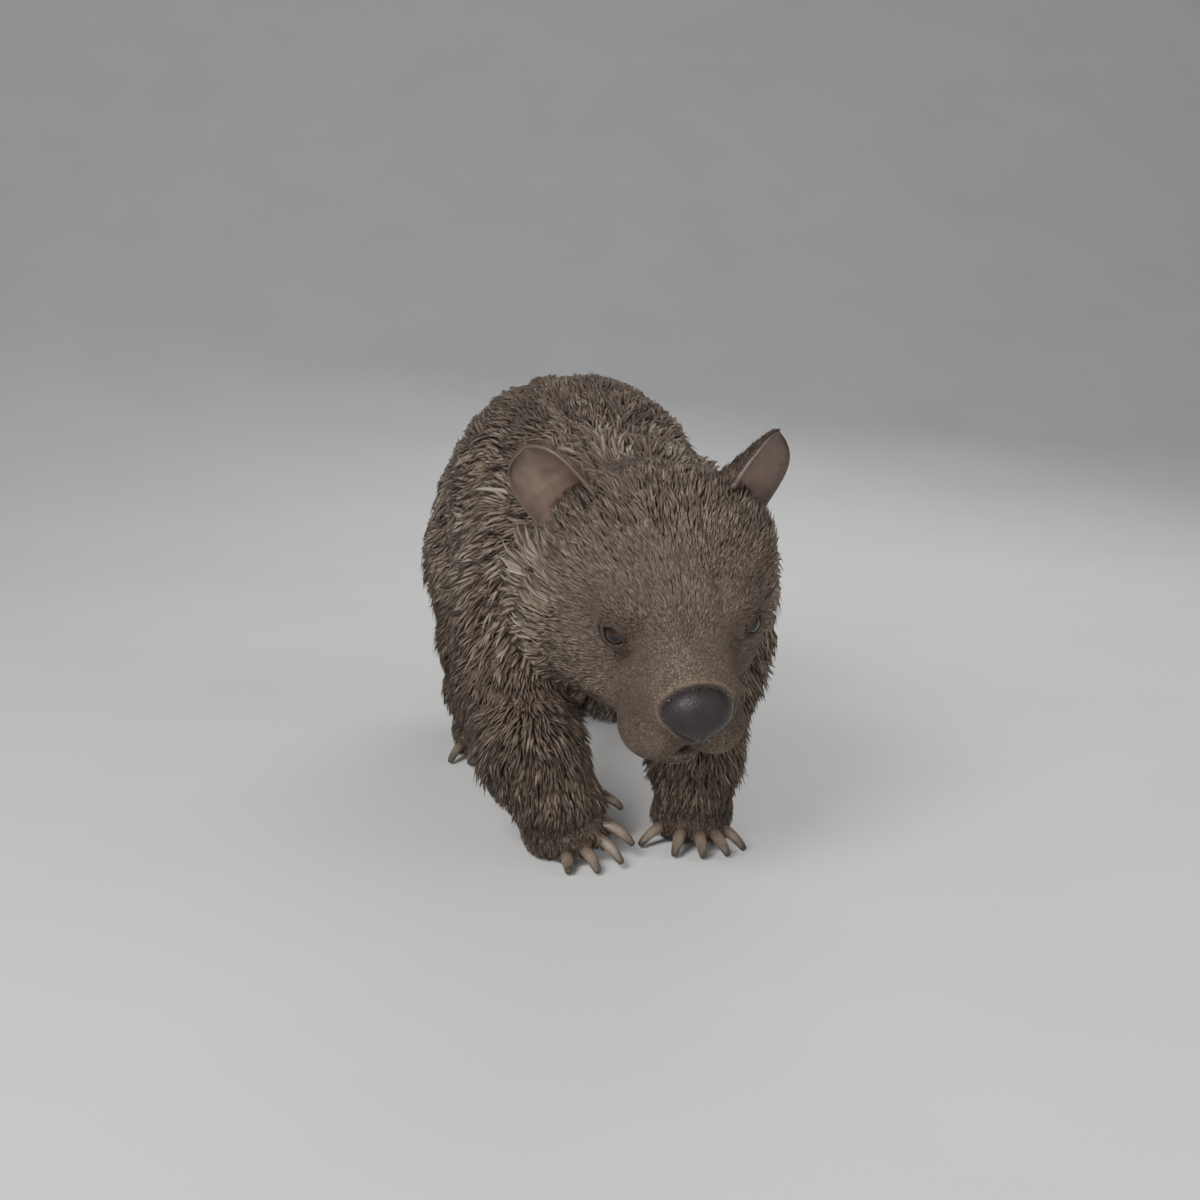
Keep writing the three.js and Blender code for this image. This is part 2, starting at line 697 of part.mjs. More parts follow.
// The fringe that hangs from the shoulder over the foreleg
function shoulderFringe(grow) {
  const draw = scatter(FRINGE_SEED);
  const locks = [];
  for (const side of [-1, 1])
    for (const y of marks(...FRINGE_STATIONS)) {
      const root = rayOut([BODY_LINE_X, y + 4 * draw(), FRINGE_HEIGHT], [side, 0, 0]);
      const lie = new THREE.Vector3(0.1 * side, 0.25 + 0.2 * draw(), -1);
      locks.push(lock(root, lie, varied(FRINGE_LOCK, draw), grow));
    }
  return locks;
}

function neckLocks(grow) {
  return tiers(NECK_TIERS, NECK_LOCK, grow);
}

// The ruff: two tiers of locks on each cheek that lean back over the neck
function ruff(grow) {
  const draw = scatter(RUFF_SEED);
  const locks = [];
  const rotation = new THREE.Matrix4().extractRotation(HEAD_FRAME);
  for (const side of [-1, 1])
    for (const { at, angles } of RUFF_TIERS)
      for (const degrees of angles) {
        const angle = radians(degrees + 5 * draw());
        const outward = [side * Math.cos(angle), 0, Math.sin(angle)];
        const from = moved(HEAD_FRAME, [0, at + 4 * draw(), RUFF_HEIGHT]);
        const root = rayOut(from, moved(rotation, outward));
        const lie = moved(rotation, [0.35 * outward[0], 1, -0.35 + 0.15 * draw()]);
        locks.push(lock(root, new THREE.Vector3(...lie), varied(RUFF_LOCK, draw), grow));
      }
  return locks;
}

function headRegion(solid, clear) {
  return kept(kept(solid, napePlane, clear), throatPlane, clear);
}

// The head's net is made in the head's own frame, so that both sides are alike.
function headNet(swell) {
  const local = (point) => animal(moved(HEAD_FRAME, point)) - swell;
  return netOf(local, ...HEAD_BOX, HEAD_STEP).transform(HEAD_FRAME.elements);
}

function surfaceAlong(from, direction) {
  let near = 0;
  let far = 160;
  for (let n = 0; n < 30; n++) {
    const mid = (near + far) / 2;
    const point = from.map((v, axis) => v + direction[axis] * mid);
    if (animal(moved(HEAD_FRAME, point)) < 0) near = mid;
    else far = mid;
  }
  return from.map((v, axis) => v + direction[axis] * near);
}

// The line of the mouth: a groove that follows the skin round the muzzle, under the upper lips
function mouthGroove() {
  const stops = marks(-MOUTH_REACH, MOUTH_REACH, 15).map((degrees) => {
    const angle = radians(degrees);
    const fall = -0.06 * Math.cos(angle * 2);
    const at = surfaceAlong(MOUTH_AT, [Math.sin(angle), -Math.cos(angle), fall]);
    const end = Math.abs(degrees) / MOUTH_REACH;
    return { at: moved(HEAD_FRAME, at), radius: MOUTH_GROOVE * (1 - 0.6 * end ** 3) };
  });
  return tubeAlong(stops, 4);
}

// A lid: a crescent that wraps the eyeball above or below the opening
function lid(side, above) {
  const centre = new THREE.Vector3(side * EYE_AT[0], EYE_AT[1], EYE_AT[2]);
  const outward = new THREE.Vector3(side * 0.66, -0.73, 0.17).normalize();
  const back = new THREE.Vector3(side * 0.73, 0.66, 0.13);
  const along = back.addScaledVector(outward, -back.dot(outward)).normalize();
  const upward = outward.clone().cross(along).multiplyScalar(side);
  const stops = marks(-1, 1, 0.25).map((t) => {
    const arch = (1 - t * t) * (above ? 0.86 : -0.86);
    const direction = outward.clone().addScaledVector(along, t * 1.05);
    direction.addScaledVector(upward, arch + (above ? 0.08 : 0) + 0.12 * t);
    const at = direction.normalize().multiplyScalar(EYE_RADIUS + 0.6).add(centre);
    const radius = LID_THICKNESS * (0.45 + 0.55 * (1 - t * t));
    return { at: moved(HEAD_FRAME, at.toArray()), radius };
  });
  return tubeAlong(stops, 6);
}

function eyeBall(side, grow) {
  const at = [side * EYE_AT[0], EYE_AT[1], EYE_AT[2]];
  const radius = EYE_RADIUS + grow;
  return ballAt(HEAD_FRAME, at, [radius, radius, radius], 6, 9);
}

function nosePad(grow) {
  const pad = (point) => ellipsoid(NOSE_AT, NOSE_SIZE)(point) - grow;
  const low = NOSE_AT.map((v, axis) => v - NOSE_SIZE[axis] - 12);
  const high = NOSE_AT.map((v, axis) => v + NOSE_SIZE[axis] + 12);
  return netOf(pad, low, high, NOSE_STEP).transform(HEAD_FRAME.elements);
}

function makeHead() {
  let solid = headRegion(headNet(0), HALF_GAP);
  for (const side of [-1, 1])
    for (const above of [true, false]) solid = solid.add(lid(side, above));
  solid = solid.subtract(mouthGroove()).subtract(nosePad(SWELL));
  for (const side of [-1, 1]) solid = solid.subtract(eyeBall(side, GAP));
  solid = joined([solid, ...ruff(0)]);
  const neck = joined([neckCore(SWELL), ...neckLocks(SWELL)]);
  return largest(clearOfLegs(outsideLegs(solid.subtract(neck), -HALF_GAP)));
}

function makeNose() {
  let solid = nosePad(0);
  for (const side of [-1, 1]) {
    const at = [side * NOSTRIL_AT[0], NOSTRIL_AT[1], NOSTRIL_AT[2]];
    solid = solid.subtract(ballAt(HEAD_FRAME, at, NOSTRIL_SIZE, 5, 8));
  }
  return largest(solid);
}

// An ear: a leaf bent round its long axis into a cup that faces out and forwards. Across it
// runs u from -1 to 1, and up it runs v from its root to its tip.
function earShell(side) {
  const up = new THREE.Vector3(...EAR_UP).normalize();
  const facing = new THREE.Vector3(...EAR_FACING);
  facing.addScaledVector(up, -facing.dot(up)).normalize();
  const across = up.clone().cross(facing);
  const root = new THREE.Vector3(...EAR_ROOT);
  const columns = 8;
  const rows = 9;
  const heights = Array.from({ length: rows }, (_, j) => 1 - (1 - j / (rows - 1)) ** 1.5);
  const outline = (v) => Math.min(1, 0.72 + 1.1 * v) * Math.max(0, 1 - v ** 6) ** 0.45 + 0.08;
  const place = (u, v, thickness) => {
    const curl = radians(EAR_CURL * (1.25 - 0.7 * v));
    const bend = (EAR_HALF_WIDTH * outline(v)) / Math.sin(Math.min(curl, 1.45));
    const depth = bend * (1 - Math.cos(curl * u)) - 12 - thickness * (1.1 - 0.6 * v);
    const point = root.clone().addScaledVector(across, bend * Math.sin(curl * u));
    point.addScaledVector(facing, depth).addScaledVector(up, EAR_LENGTH * (v - 0.15));
    return [point.x * side, point.y, point.z];
  };
  const positions = [];
  for (const thickness of [0, EAR_THICKNESS])
    for (let j = 0; j < rows; j++)
      for (let i = 0; i < columns; i++)
        positions.push(place((2 * i) / (columns - 1) - 1, heights[j], thickness));
  const back = rows * columns;
  const triangles = [];
  const quad = (a, b, c, d) => triangles.push([a, b, c], [a, c, d]);
  for (let j = 0; j < rows - 1; j++)
    for (let i = 0; i < columns - 1; i++) {
      const a = j * columns + i;
      quad(a, a + 1, a + columns + 1, a + columns);
      quad(back + a, back + a + columns, back + a + columns + 1, back + a + 1);
    }
  for (let i = 0; i < columns - 1; i++) {
    const top = (rows - 1) * columns + i;
    quad(i, back + i, back + i + 1, i + 1);
    quad(top, top + 1, back + top + 1, back + top);
  }
  for (let j = 0; j < rows - 1; j++) {
    const a = j * columns;
    const b = a + columns - 1;
    quad(a, a + columns, back + a + columns, back + a);
    quad(b, back + b, back + b + columns, b + columns);
  }
  let shell = solidFrom(positions, triangles);
  if (shell.volume() < 0) shell = solidFrom(positions, triangles.map(([a, b, c]) => [a, c, b]));
  return shell.transform(HEAD_FRAME.elements);
}

function makeEar(side) {
  return largest(earShell(side).subtract(headNet(SWELL)));
}

function makeTail() {
  const cone = roundCone(TAIL_ROOT, TAIL_TIP, TAIL_RADIUS, TAIL_TIP_RADIUS);
  const low = TAIL_TIP.map((v, axis) => Math.min(v, TAIL_ROOT[axis]) - 25);
  const high = TAIL_TIP.map((v, axis) => Math.max(v, TAIL_ROOT[axis]) + 25);
  return largest(netOf(cone, low, high, TAIL_STEP).subtract(torsoNet(SWELL)));
}

// The model
const model = new THREE.Group();
model.name = "wombat";

function addPart(name, solid, finish) {
  const { numProp, vertProperties, triVerts } = largest(welded(solid)).getMesh();
  if (numProp !== 3) throw new Error(`${name} carries more than positions`);
  const geometry = new THREE.BufferGeometry();
  geometry.setAttribute("position", new THREE.BufferAttribute(vertProperties, 3));
  geometry.setIndex(new THREE.BufferAttribute(triVerts, 1));
  geometry.computeVertexNormals();
  const mesh = new THREE.Mesh(geometry, new THREE.MeshStandardMaterial(finish));
  mesh.name = name;
  model.add(mesh);
}

const torso = makeTorso();
addPart("torso", torso, FUR);
addPart("neck", makeNeck(), FUR);
addPart("head", makeHead(), FUR);
addPart("nose", makeNose(), NOSE_SKIN);
addPart("tail", makeTail(), FUR);
for (const [label, side] of [["right", -1], ["left", 1]]) {
  addPart(`ear_${label}`, makeEar(side), FUR);
  addPart(`eye_${label}`, eyeBall(side, 0), EYE_GLASS);
}
LEGS.forEach((leg, index) => {
  addPart(leg.name, makeLeg(index), FUR);
  for (let i = 0; i < clawsOf(leg); i++)
    addPart(`claw_${leg.name}_${i + 1}`, makeClaw(leg, i), HORN);
});

const bounds = new THREE.Box3().setFromObject(model);
const middle = bounds.getCenter(new THREE.Vector3());
model.position.set(-middle.x, -middle.y, -bounds.min.z);

export default model;
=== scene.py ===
"""A life-size common wombat, walking slowly with its head lowered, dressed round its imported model.

All sizes are in metres in the model's own frame: the animal faces -Y, its left side is +X and the
floor is z = 0. The skin is the net of one smooth field of blended masses, and the coat is made of
tufts that are rooted in it and follow the lie of the real fur.
"""

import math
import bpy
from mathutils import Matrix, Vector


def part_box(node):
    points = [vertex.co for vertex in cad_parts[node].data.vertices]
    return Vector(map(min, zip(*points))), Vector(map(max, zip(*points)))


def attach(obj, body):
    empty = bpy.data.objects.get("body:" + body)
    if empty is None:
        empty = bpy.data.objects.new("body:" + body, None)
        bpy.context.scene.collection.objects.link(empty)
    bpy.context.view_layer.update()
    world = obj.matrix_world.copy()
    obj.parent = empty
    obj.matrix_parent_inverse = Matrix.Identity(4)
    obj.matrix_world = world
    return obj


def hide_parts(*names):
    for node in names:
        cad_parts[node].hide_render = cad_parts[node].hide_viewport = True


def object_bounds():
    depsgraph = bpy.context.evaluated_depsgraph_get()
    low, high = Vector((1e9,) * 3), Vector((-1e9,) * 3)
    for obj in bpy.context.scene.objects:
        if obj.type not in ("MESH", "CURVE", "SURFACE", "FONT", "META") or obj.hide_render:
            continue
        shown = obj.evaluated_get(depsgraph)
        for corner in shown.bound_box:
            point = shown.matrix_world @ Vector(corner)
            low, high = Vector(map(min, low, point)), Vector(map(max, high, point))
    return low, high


bl_info = {
    "name": "Wombat coat and face",
    "version": (1, 0, 0),
    "blender": (4, 5, 0),
    "location": "3D View > Sidebar > Wombat",
    "description": "Dresses the plain solids of a wombat with skin, coat, eyes, nose, ears and claws",
    "category": "Object",
}

import bpy
import numpy as np
from bpy.props import FloatProperty, FloatVectorProperty, IntProperty, PointerProperty

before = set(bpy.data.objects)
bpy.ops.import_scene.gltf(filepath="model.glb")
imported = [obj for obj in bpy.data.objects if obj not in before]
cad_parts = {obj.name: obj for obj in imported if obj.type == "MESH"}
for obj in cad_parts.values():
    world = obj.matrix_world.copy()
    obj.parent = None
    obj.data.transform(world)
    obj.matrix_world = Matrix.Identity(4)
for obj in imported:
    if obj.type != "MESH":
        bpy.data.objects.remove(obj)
solid_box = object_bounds()

# The body's masses in millimetres: centre, half sizes and how softly each blends with those
# before it
BODY_MASSES = (
    ("barrel", (-10, 80, 250), (127, 215, 138), 0),
    ("back", (-16, 105, 319), (97, 200, 77), 60),
    ("chest", (-6, -110, 222), (113, 135, 123), 60),
    ("rump", (-24, 300, 240), (106, 150, 125), 80),
    ("neck", (-4, -200, 245), (94, 110, 98), 60),
    ("right shoulder", (-86, -120, 210), (50, 80, 92), 50),
    ("left shoulder", (80, -120, 207), (51, 80, 92), 50),
    ("right thigh", (-86, 250, 190), (55, 100, 100), 50),
    ("left thigh", (54, 270, 190), (61, 100, 100), 50),
)
# The head's masses in the head's own frame, whose origin lies between the eyes: x to its left,
# y towards the nape, z towards the forehead. The last value is true for those on both sides.
HEAD_MASSES = (
    ("cranium", (0, 60, 14), (82, 78, 68), 0, False),
    ("temples", (47, 50, 34), (44, 56, 40), 20, True),
    ("forehead", (0, 2, 15), (55, 54, 42), 30, False),
    ("nose bridge", (0, -38, 2), (27, 46, 26), 25, False),
    ("cheeks", (52, 50, -44), (43, 60, 56), 30, True),
    ("jaw", (0, 14, -62), (58, 72, 42), 30, False),
    ("muzzle", (0, -40, -26), (45, 48, 42), 25, False),
    ("nose base", (0, -72, -18), (36, 24, 28), 20, False),
    ("upper lips", (24, -60, -56), (28, 32, 25), 12, True),
    ("lower lip", (0, -41, -93), (29, 30, 15), 12, False),
    ("eye mounds", (43, -19, 14), (17, 17, 17), 14, True),
    ("brows", (42, -16, 33), (20, 18, 9), 15, True),
)
# The head's place and its turns about z, x and y, and how softly head and legs join the trunk
HEAD_AT = (-0.001, -0.330, 0.224)
HEAD_TURN = (4.0, 34.0, -3.0)
HEAD_BLEND = 0.035
LIMB_BLEND = 0.030
# The features of the face, in the head's frame. An eye's opening is given by the slopes of its
# sight lines, wide and high, and the skin stands LID_SKIN off the eyeball round it.
EYE_AT = (0.049, -0.0255, 0.0155)
EYE_RADIUS = 0.0126
EYE_OPENING = (1.15, 0.82)
EYE_GAZE = (0.60, -0.79, 0.06)
# The folds of the lids: how far each arches and slants, its share of thickness and how far its
# middle stands off the eyeball
LID_FOLDS = ((0.86, 0.06, 0.80, 0.0018), (-0.86, 0.0, 0.50, 0.0010), (-1.25, 0.0, 0.50, 0.0016))
LID_SKIN = 0.0018
NOSE_AT = (0.0, -0.089, -0.016)
NOSE_SIZE = (0.027, 0.019, 0.024)
NOSE_DROP = 1.14
MOUTH_AT = (0.0, -0.038, -0.080)
MOUTH_REACH = 105.0
MOUTH_DEPTH = 0.0095
MOUTH_WIDTH = 0.0030
# The face's folds in the head's frame, in millimetres: sides, depth, width and points. They are
# the cleft of the lips, then beside the nose, under the eye, over the brow, on the cheek, on the
# jaw and on the forehead.
CREASES = (
    ((1,), 7.5, 2.7, ((0, -104, -34), (0, -100, -50), (0, -94, -66), (0, -85, -78))),
    ((1, -1), 3.0, 3.0, ((30, -86, -2), (34, -83, -18), (31, -84, -34), (18, -92, -42))),
    ((1, -1), 2.2, 3.0, ((28, -46, 12), (36, -46, 3), (46, -44, -4), (60, -30, -4))),
    ((1, -1), 3.8, 5.0, ((34, -50, 26), (26, -40, 34), (22, -20, 46))),
    ((1, -1), 4.6, 6.5, ((52, -40, -30), (62, -16, -40), (72, 10, -44), (82, 36, -40))),
    ((1, -1), 3.6, 6.0, ((50, -30, -70), (62, -6, -72), (72, 20, -70))),
    ((1,), 4.0, 5.5, ((0, -55, 30), (0, -20, 52), (0, 15, 62))),
)
# The ears, in the head's frame, and the tail, in the animal's
EAR_ROOT = (0.064, 0.084, 0.052)
EAR_UP = (0.72, 0.15, 0.64)
EAR_FACING = (0.6, -0.8, 0.05)
EAR_LENGTH = 0.071
EAR_HALF_WIDTH = 0.030
EAR_THICKNESS = 0.0045
EAR_CURL = 74.0
TAIL = ((-0.030, 0.425, 0.225), (-0.031, 0.458, 0.196), 0.013, 0.007)


def metres(values):
    """Millimetres as an array of metres."""
    return np.array(values) / 1000


def leg_table(joints, paw, turns, size, fan, reach, claws, rise=(0, 0, 0, 0, 0)):
    """A leg's measures from millimetres and degrees: its joints with their radii, its paw's
    place, yaw and roll and half sizes, then its toes' fan, reach and rise, and its claws."""
    lengths = {"joints": joints, "paw": paw, "size": size, "reach": reach, "rise": rise}
    table = {name: metres(values).tolist() for name, values in lengths.items()}
    return {**table, "yaw": turns[0], "roll": turns[1], "fan": fan, "claws": claws}


LEGS = {
    "foreleg_right": leg_table(
        ((-92, -125, 205, 54), (-112, -160, 140, 46), (-100, -215, 92, 43), (-80, -226, 52, 39)),
        (-72, -225, 22), (26, -24), (36, 36, 22), (-34, -12, 10, 34, 82), (40, 44, 44, 41, 41), 5,
        (0, 0, 0, 2, 13)),
    "foreleg_left": leg_table(
        ((78, -120, 205, 54), (80, -130, 135, 45), (54, -190, 75, 38), (48, -207, 40, 33)),
        (47, -203, 20), (0, 0), (35, 36, 22), (34, 15, -4, -26, -64), (38, 42, 42, 39, 32), 5),
    "hindleg_right": leg_table(
        ((-92, 235, 190, 62), (-104, 150, 120, 46), (-108, 190, 60, 34), (-110, 165, 30, 26)),
        (-112, 135, 18), (-2, 0), (30, 44, 20), (-30, -11, 8, 27, 58), (44, 48, 48, 44, 36), 4),
    "hindleg_left": leg_table(
        ((56, 275, 190, 62), (72, 260, 120, 46), (80, 335, 60, 34), (82, 315, 30, 26)),
        (83, 285, 18), (4, 0), (30, 44, 20), (30, 11, -8, -27, -58), (44, 48, 48, 44, 36), 4),
}
# Toes and claws
TOE_RADIUS = 0.012
TOE_END_RADIUS = 0.008
CLAW_LENGTH = 0.025
CLAW_RADIUS = 0.0064
CLAW_TIP_RADIUS = 0.0026
CLAW_TIP_HEIGHT = 0.0034

# The camera, which looks at the middle of the head from the front and a little above
CAMERA_AZIMUTH = -10.0
CAMERA_PITCH = 9.0
CAMERA_DISTANCE = 1.447
CAMERA_HEIGHT = 0.4148
VIEW_ANGLE = 45.0
# The lights: place, width and power. All of them aim at the middle of the animal.
LIGHTS = (
    ("Key", (-1.4, -1.9, 1.8), 1.1, 88),
    ("Fill", (1.9, -1.2, 1.2), 1.8, 24),
    ("Rim", (0.8, 1.9, 1.9), 1.2, 42),
    ("Front", (-0.5, -2.3, 0.45), 1.0, 14),
)
LIGHTS_AIM = (0, -0.05, 0.2)
# The floor runs level from its front edge, then curves up with the sweep's radius to a wall.
FLOOR_FRONT = -9.0
SWEEP_START = 1.6
SWEEP_RADIUS = 4.4
WALL_HEIGHT = 9.0
FLOOR_HALF_WIDTH = 14.0

# The coat: where the ruff's tiers stand along the head, how many tufts of three rings a piece
# holds, and how far past the solids' sides the tufts reach
RUFF_TIERS = (0.036, 0.066)
PIECE_TUFTS = 12500
SIDE_REACH = 0.002
SIDE_PRESS = 0.72


def turn_matrix(yaw, pitch, roll):
    """Turns about z, then x, then y, in degrees, as one 3 by 3 matrix."""
    cz, sz = math.cos(math.radians(yaw)), math.sin(math.radians(yaw))
    cx, sx = math.cos(math.radians(pitch)), math.sin(math.radians(pitch))
    cy, sy = math.cos(math.radians(roll)), math.sin(math.radians(roll))
    about_z = np.array(((cz, -sz, 0), (sz, cz, 0), (0, 0, 1)))
    about_x = np.array(((1, 0, 0), (0, cx, -sx), (0, sx, cx)))
    about_y = np.array(((cy, 0, sy), (0, 1, 0), (-sy, 0, cy)))
    return about_z @ about_x @ about_y


HEAD_MATRIX = turn_matrix(*HEAD_TURN)


def head_place(points):
    """Points of the head's own frame in the animal's frame."""
    return np.asarray(points) @ HEAD_MATRIX.T + np.array(HEAD_AT)


def head_local(points):
    """Points of the animal's frame in the head's own frame."""
    return (points - np.array(HEAD_AT, np.float32)) @ HEAD_MATRIX.astype(np.float32)


def frame_origin():
    """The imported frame's origin in the animal's frame, from where the left eye's solid stands."""
    low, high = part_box("eye_left")
    gap = (np.array(low) + np.array(high)) / 2 - head_place(EYE_AT)
    return np.array((gap[0], gap[1], 0.0))


ORIGIN = frame_origin()


def unit(vectors):
    """Each vector divided by its length."""
    return vectors / (np.linalg.norm(vectors, axis=-1, keepdims=True) + 1e-12)


def smooth_step(low, high, values):
    """0 below low, 1 above high, and an S-curve 3t2 - 2t3 between; low may be the higher one."""
    t = np.clip((values - low) / (high - low), 0, 1)
    return t * t * (3 - 2 * t)


def blend_min(a, b, width):
    """The lesser of two distances, rounded where they cross over the given width."""
    if width <= 0:
        return np.minimum(a, b)
    h = np.clip(0.5 + 0.5 * (b - a) / width, 0, 1)
    return b + (a - b) * h - width * h * (1 - h)


def ellipsoid(points, centre, size):
    """Near distance to an ellipsoid: k0 (k0 - 1) / k1, with k0 = |p / r| and k1 = |p / r2|."""
    p = (points - np.array(centre, np.float32)) / np.array(size, np.float32)
    near = np.sqrt((p * p).sum(-1))
    p = p / np.array(size, np.float32)
    return near * (near - 1) / (np.sqrt((p * p).sum(-1)) + 1e-9)


def round_cone(points, start, end, start_radius, end_radius):
    """Distance to a segment less a radius that runs evenly from one end to the other."""
    start = np.array(start, np.float32)
    along = np.array(end, np.float32) - start
    t = np.clip(((points - start) @ along) / (along @ along), 0, 1)
    off = points - start - t[..., None] * along
    return np.sqrt((off * off).sum(-1)) - (start_radius + (end_radius - start_radius) * t)


def blended(points, masses):
    """Masses blended one after another, those on both sides taken twice."""
    distance = None
    for _, centre, size, width, *both in masses:
        for side in (1, -1) if any(both) else (1,):
            part = ellipsoid(points, metres(centre) * (side, 1, 1), metres(size))
            distance = part if distance is None else blend_min(distance, part, width / 1000)
    return distance


def dent(distance, depth, width):
    """A soft dent: depth exp(-(distance / width)2)."""
    return depth * np.exp(-((distance / width) ** 2))


def paw_frame(leg):
    """The turn and the place of a paw."""
    turn = turn_matrix(leg["yaw"], 0, 0) @ turn_matrix(0, 0, leg["roll"])
    return turn, np.array(leg["paw"])


def toe_stops(leg, index):
    """The start, knuckle and end of a toe, and the way it points."""
    angle = math.radians(leg["fan"][index])
    ahead = np.array((math.sin(angle), -math.cos(angle), 0.0))
    turn, place = paw_frame(leg)
    reach = leg["reach"][index]
    rise = leg["rise"][index]
    stops = [ahead * reach * share + (0, 0, height + rise)
             for share, height in ((0.2, 0.002), (0.7, 0.001), (1.0, -0.005))]
    return [place + turn @ stop for stop in stops], turn @ ahead


def leg_field(points, leg):
    """A chain of round cones, the paw's pad and its toes."""
    distance = None
    for (*start, start_radius), (*end, end_radius) in zip(leg["joints"], leg["joints"][1:]):
        part = round_cone(points, start, end, start_radius, end_radius)
        distance = part if distance is None else blend_min(distance, part, 0.020)
    turn, place = paw_frame(leg)
    local = (points - place.astype(np.float32)) @ turn.astype(np.float32)
    distance = blend_min(distance, ellipsoid(local, (0, 0, 0), leg["size"]), 0.020)
    for index in range(len(leg["fan"])):
        (start, knuckle, end), _ = toe_stops(leg, index)
        toe = round_cone(points, start, knuckle, TOE_RADIUS, TOE_RADIUS)
        toe = blend_min(toe, round_cone(points, knuckle, end, TOE_RADIUS, TOE_END_RADIUS), 0.003)
        distance = blend_min(distance, toe, 0.004)
    return distance


def outline_parts(points):
    """The distances to the trunk with its tail, the nearest leg and the head."""
    body = blend_min(blended(points, BODY_MASSES), round_cone(points, *TAIL), 0.008)
    legs = None
    for leg in LEGS.values():
        part = leg_field(points, leg)
        legs = part if legs is None else np.minimum(legs, part)
    return body, legs, blended(head_local(points), HEAD_MASSES)


def outline(points):
    """The coat's outer surface: trunk, legs and head run into one another."""
    body, legs, head = outline_parts(points)
    return blend_min(blend_min(body, legs, LIMB_BLEND), head, HEAD_BLEND)


def slope(points, field, step=0.001):
    """The unit direction in which a field grows fastest, from differences both ways."""
    axes = []
    for axis in range(3):
        offset = np.zeros(3, np.float32)
        offset[axis] = step
        axes.append(field(points + offset) - field(points - offset))
    return unit(np.stack(axes, -1))


def zones(points):
    """How much each point belongs to the head, face, legs, paws, back and belly, from 0 to 1, and
    how far it lies along the head and from an eye."""
    body, legs, head = outline_parts(points)
    local = head_local(points)
    on_head = smooth_step(-0.004, 0.014, np.minimum(body, legs) - head)
    on_legs = smooth_step(-0.012, 0.020, body - legs) * (1 - on_head)
    aside = np.stack((np.abs(local[..., 0]), local[..., 1], local[..., 2]), -1)
    near_eye = np.linalg.norm(aside - np.array(EYE_AT, np.float32), axis=-1)
    return {
        "head": on_head,
        "face": on_head * smooth_step(0.045, -0.035, local[..., 1]),
        "muzzle": on_head * smooth_step(-0.025, -0.062, local[..., 1]),
        "eye": on_head * smooth_step(EYE_RADIUS + 0.015, EYE_RADIUS + 0.003, near_eye),
        "ruff": on_head * smooth_step(0.012, 0.055, local[..., 1])
        * smooth_step(0.030, -0.010, local[..., 2]),
        "along": local[..., 1],
        "from_eye": near_eye,
        "leg": on_legs,
        "paw": on_legs * smooth_step(0.060, 0.030, points[..., 2]),
        "back": (1 - on_head) * smooth_step(0.325, 0.375, points[..., 2]),
        "belly": (1 - on_head) * (1 - on_legs) * smooth_step(0.17, 0.125, points[..., 2]),
    }


def ruff_edges(zone):
    """The two tiers of the cheek ruff: bands round the head a few millimetres wide."""
    return sum(dent(zone["along"] - at, 1.0, 0.007) for at in RUFF_TIERS) * zone["ruff"]


def layered(zone, value, *steps):
    """A value that each zone in turn replaces by its own, from millimetres to metres."""
    for name, own in steps:
        value = value + (own - value) * zone[name]
    return value / 1000


def coat_depth(zone):
    """How far the skin lies under the coat's outline."""
    return layered(zone, 10.5 - 3 * zone["back"] - 3 * zone["belly"], ("leg", 5.5), ("head", 6.5),
                   ("ruff", 9.5), ("face", 2.4), ("paw", 2.4))


def tuft_length(zone):
    """The length of the fur: longest on flanks and cheeks, shortest on face and feet."""
    length = layered(zone, 34 - 13 * zone["back"] - 6 * zone["belly"], ("leg", 19), ("head", 15),
                     ("ruff", 30), ("face", 8.5), ("paw", 5.5), ("eye", 3.8), ("muzzle", 3.0))
    return length + 0.012 * ruff_edges(zone)


def mouth_path():
    """Where rays from inside the muzzle, fanned round it level with the lips, leave the skin."""
    angles = np.radians(np.linspace(-MOUTH_REACH, MOUTH_REACH, 29))
    ways = np.stack((np.sin(angles), -np.cos(angles), -0.06 * np.cos(2 * angles)), -1)
    near = np.zeros(len(angles))
    far = np.full(len(angles), 0.16)
    for _ in range(24):
        middle = (near + far) / 2
        at = head_place(np.array(MOUTH_AT) + ways * middle[:, None])
        inside = outline(at.astype(np.float32)) < 0
        near = np.where(inside, middle, near)
        far = np.where(inside, far, middle)
    return np.array(MOUTH_AT) + ways * near[:, None]


def crease_lines():
    """The folds of the face in the head's frame: points, depth and width of each."""
    lines = [(mouth_path(), MOUTH_DEPTH, MOUTH_WIDTH)]
    for sides, depth, width, line in CREASES:
        for side in sides:
            lines.append((metres(line) * (side, 1, 1), depth / 1000, width / 1000))
    return lines


def line_distance(points, line):
    """The distance to the nearest stretch of a broken line."""
    nearest = None
    for start, end in zip(line, line[1:]):
        part = round_cone(points, start, end, 0.0, 0.0)
        nearest = part if nearest is None else np.minimum(nearest, part)
    return nearest


def skin_field(points):
    """The outline sunk by the depth of the coat, with the folds of the face pressed in."""
    distance = outline(points) + coat_depth(zones(points))
    local = head_local(points)
    near = (local[..., 1] < 0.05) & (np.abs(distance) < 0.02)
    close = local[near]
    sunk = distance[near] + dent(nose_gap(close), 0.0026, 0.0026)
    for line, depth, width in crease_lines():
        sunk += dent(line_distance(close, line), depth, width)
    for side in (1, -1):
        opening, ahead, away = eye_opening(close, side)
        sunk = blend_min(sunk, away - EYE_RADIUS - LID_SKIN, 0.007)
        sunk = np.maximum(sunk, np.where(ahead > 0.002, (1 - opening) * 0.010, -1))
    distance[near] = sunk
    return distance


